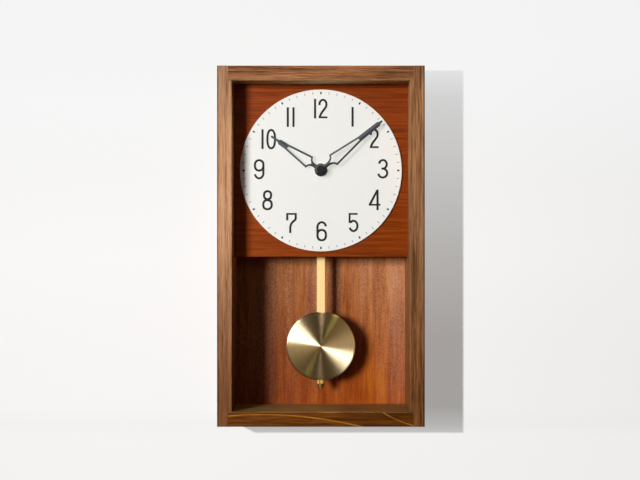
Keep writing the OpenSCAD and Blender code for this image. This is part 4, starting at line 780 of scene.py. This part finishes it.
past_side = add(tree, "Math", {"operation": "GREATER_THAN", 1: cad_box[1][0]},
                {0: off.outputs[0]})
past_end = add(tree, "Math", {"operation": "GREATER_THAN",
                              1: (cad_box[1][2] - cad_box[0][2]) / 2}, {0: off.outputs[2]})
open_wall = add(tree, "Math", {"operation": "MAXIMUM"},
                {0: past_side.outputs[0], 1: past_end.outputs[0]})
glowing = add(tree, "Math", {"operation": "MULTIPLY"},
              {0: looked_at.outputs[0], 1: open_wall.outputs[0]})
shine = add(tree, "Emission", links={"Color": glow.outputs["Color"],
                                     "Strength": glowing.outputs[0]})
summed = add(tree, "AddShader", links={0: shader.outputs[0], 1: shine.outputs[0]})
print("the glow stops behind the clock, whose middle is at z =", round(clock_middle, 3))

# %% See through the wall from behind
geometry = add(tree, "NewGeometry")
clear = add(tree, "BsdfTransparent")
sided = add(tree, "MixShader", links={0: geometry.outputs["Backfacing"], 1: summed.outputs[0],
                                      2: clear.outputs[0]})
tree.links.new(sided.outputs[0], tree.nodes["Material Output"].inputs["Surface"])
print(plaster.name, "is clear from behind")

# %% [markdown]
# ## The key light
# How far each shadow runs at two depths gives a lamp's direction and distance. The shadows in the
# case come from a soft lamp to the left and far in front. The hands' shadows on the dial are much
# weaker than the case's own, which one lamp can't give. So the key is two lamps at one place, and
# the hands shade only the weaker one. A small fill from above and behind the camera lifts the
# dark corners.


# %% Hang the key and the fill
def lamp(name, at, towards, size, power, colour="#FFFFFF"):
    """A rectangular lamp of a size in metres and a power in watts, turned from its place towards
    a point."""
    light = bpy.data.lights.new(name, "AREA")
    light.shape = "RECTANGLE"
    light.size, light.size_y = size
    light.energy, light.color = power, linear(colour)[:3]
    hung = bpy.data.objects.new(name, light)
    bpy.context.scene.collection.objects.link(hung)
    hung.location = at
    hung.rotation_euler = (Vector(towards) - Vector(at)).to_track_quat("-Z", "Y").to_euler()
    return hung


CLOCK = (0, -0.04, -0.16)
KEY, SOFTBOX = (-2.03, -2.95, 0.30), (0.9, 0.9)
key = lamp("key", KEY, CLOCK, SOFTBOX, 38)
key_past_hands = lamp("key_past_hands", KEY, CLOCK, SOFTBOX, 102)
front = lamp("front_fill", (0.0, -2.2, 0.55), CLOCK, (0.3, 0.3), 1.9)
front.visible_glossy = False
print("key", round((Vector(KEY) - Vector(CLOCK)).length, 2), "m from the clock")

# %% [markdown]
# ## The other lamps
# The clock's shadow on the wall runs at another slope than those in the case, as if its lamp were
# nearer, so the wall has a small lamp of its own. Two large lamps behind the wall light the
# clock's back for the other views. Three more lamps show only as reflections: a softbox above
# the key that widens the bob's fan, and two small ones that give its pale and greenish streaks.

# %% Hang the others
wall_key = lamp("wall_key", (-0.688, -1.135, -0.074), (0.3, 0, -0.16), (0.03, 0.03), 8)
lamp("back_left", (-1.6, 1.6, 0.8), CLOCK, (1.2, 1.2), 32)
lamp("back_right", (1.8, 1.2, 0.2), CLOCK, (1.2, 1.2), 26)
shine_lamps = [lamp("shine_high", (-2.0, -2.9, 1.2), CLOCK, (0.7, 0.7), 46),
               lamp("shine_above", (0.04, -0.90, 0.90), CLOCK, (0.05, 0.05), 2.8, "#FFE8D8"),
               lamp("shine_right", (0.62, -0.90, 0.85), CLOCK, (0.06, 0.06), 2.8, "#E0DC8C")]
for shine_lamp in shine_lamps:
    shine_lamp.visible_diffuse = False

# %% [markdown]
# ## Which lamp reaches what
# Light linking gives a lamp a collection of the objects that it lights, or that shade it. In such
# a collection each object is either taken in or left out, and a collection that only leaves
# objects out holds all the others. The wall's lamp is small and near, so its light would fall off
# along the wall: a Light Falloff node keeps it even.


# %% Link the lamps
def collect(name, things, state):
    """A collection for light linking, which takes these objects in or leaves them out."""
    group = bpy.data.collections.new(name)
    for thing in things:
        group.objects.link(thing)
    for item in group.collection_objects:
        item.light_linking.link_state = state
    return group


wall_key.light_linking.receiver_collection = collect("only_wall", [wall_plane], "INCLUDE")
not_wall = collect("not_wall", [wall_plane], "EXCLUDE")
for clock_lamp in (key, key_past_hands, front, *shine_lamps):
    clock_lamp.light_linking.receiver_collection = not_wall
key_past_hands.light_linking.blocker_collection = collect(
    "not_hands", [nodes["hour_hand"], nodes["minute_hand"], nodes["hand_nut"]], "EXCLUDE")
wall_key.data.use_nodes = True
tree = wall_key.data.node_tree
even = add(tree, "LightFalloff", {"Strength": 1.0})
tree.links.new(even.outputs["Constant"], tree.nodes["Emission"].inputs["Strength"])
print("linked", [group.name for group in bpy.data.collections])

# %% [markdown]
# ## The room
# The camera, and metal that faces away from it, see the same pale background past the wall.
# Metal that faces the camera mirrors the room instead: a dim one with a bright band at eye level,
# darkest where the photographer stands. The room's light on everything else is very low, because
# the lamps give the light.

# %% The room that metal mirrors
world = bpy.data.worlds.new("studio")
bpy.context.scene.world = world
world.use_nodes = True
tree = world.node_tree
tree.nodes.clear()
way = add(tree, "TexCoord").outputs["Generated"]
parts = add(tree, "SeparateXYZ", links={0: way})
upward = add(tree, "MapRange", {"From Min": -0.7, "From Max": 0.7}, {"Value": parts.outputs[2]})
around_room = add(tree, "ValToRGB", links={"Fac": upward.outputs[0]},
                  stops=[(0.0, "#1A1006"), (0.25, "#33281A"), (0.40, "#6A5A42"),
                         (0.47, "#B09A78"), (0.5, "#F0E0C4"), (0.53, "#D8C4A0"),
                         (0.60, "#9A8464"), (0.75, "#5A4A36"), (1.0, "#2E2418")])
aside = add(tree, "Math", {"operation": "ABSOLUTE"}, {0: parts.outputs[0]})
past_camera = add(tree, "MapRange", {"From Min": 0.06, "From Max": 0.3, "To Min": 0.35,
                                     "To Max": 1.9}, {"Value": aside.outputs[0]})
room = add(tree, "Background", links={"Color": around_room.outputs[0],
                                      "Strength": past_camera.outputs[0]})
print("room of", len(around_room.color_ramp.elements), "tones from floor to ceiling")

# %% The pale background and the faint fill
FILL_STRENGTH = 0.014
pale = add(tree, "Background", {"Color": linear("#F7F7F8"), "Strength": 1.0})
fill = add(tree, "Background", {"Color": linear("#FFFFFF"), "Strength": FILL_STRENGTH})
rays = add(tree, "LightPath")
behind = add(tree, "Math", {"operation": "GREATER_THAN", 1: 0.0}, {0: parts.outputs[1]})
mirrored = add(tree, "MixShader", links={0: behind.outputs[0], 1: room.outputs[0],
                                         2: pale.outputs[0]})
shiny = add(tree, "MixShader", links={0: rays.outputs["Is Glossy Ray"], 1: fill.outputs[0],
                                      2: mirrored.outputs[0]})
straight = add(tree, "Math", {"operation": "MAXIMUM"},
               {0: rays.outputs["Is Camera Ray"], 1: rays.outputs["Is Transmission Ray"]})
either = add(tree, "MixShader", links={0: straight.outputs[0], 1: shiny.outputs[0],
                                       2: pale.outputs[0]})
add(tree, "OutputWorld", links={"Surface": either.outputs[0]})
print("world", world.name)
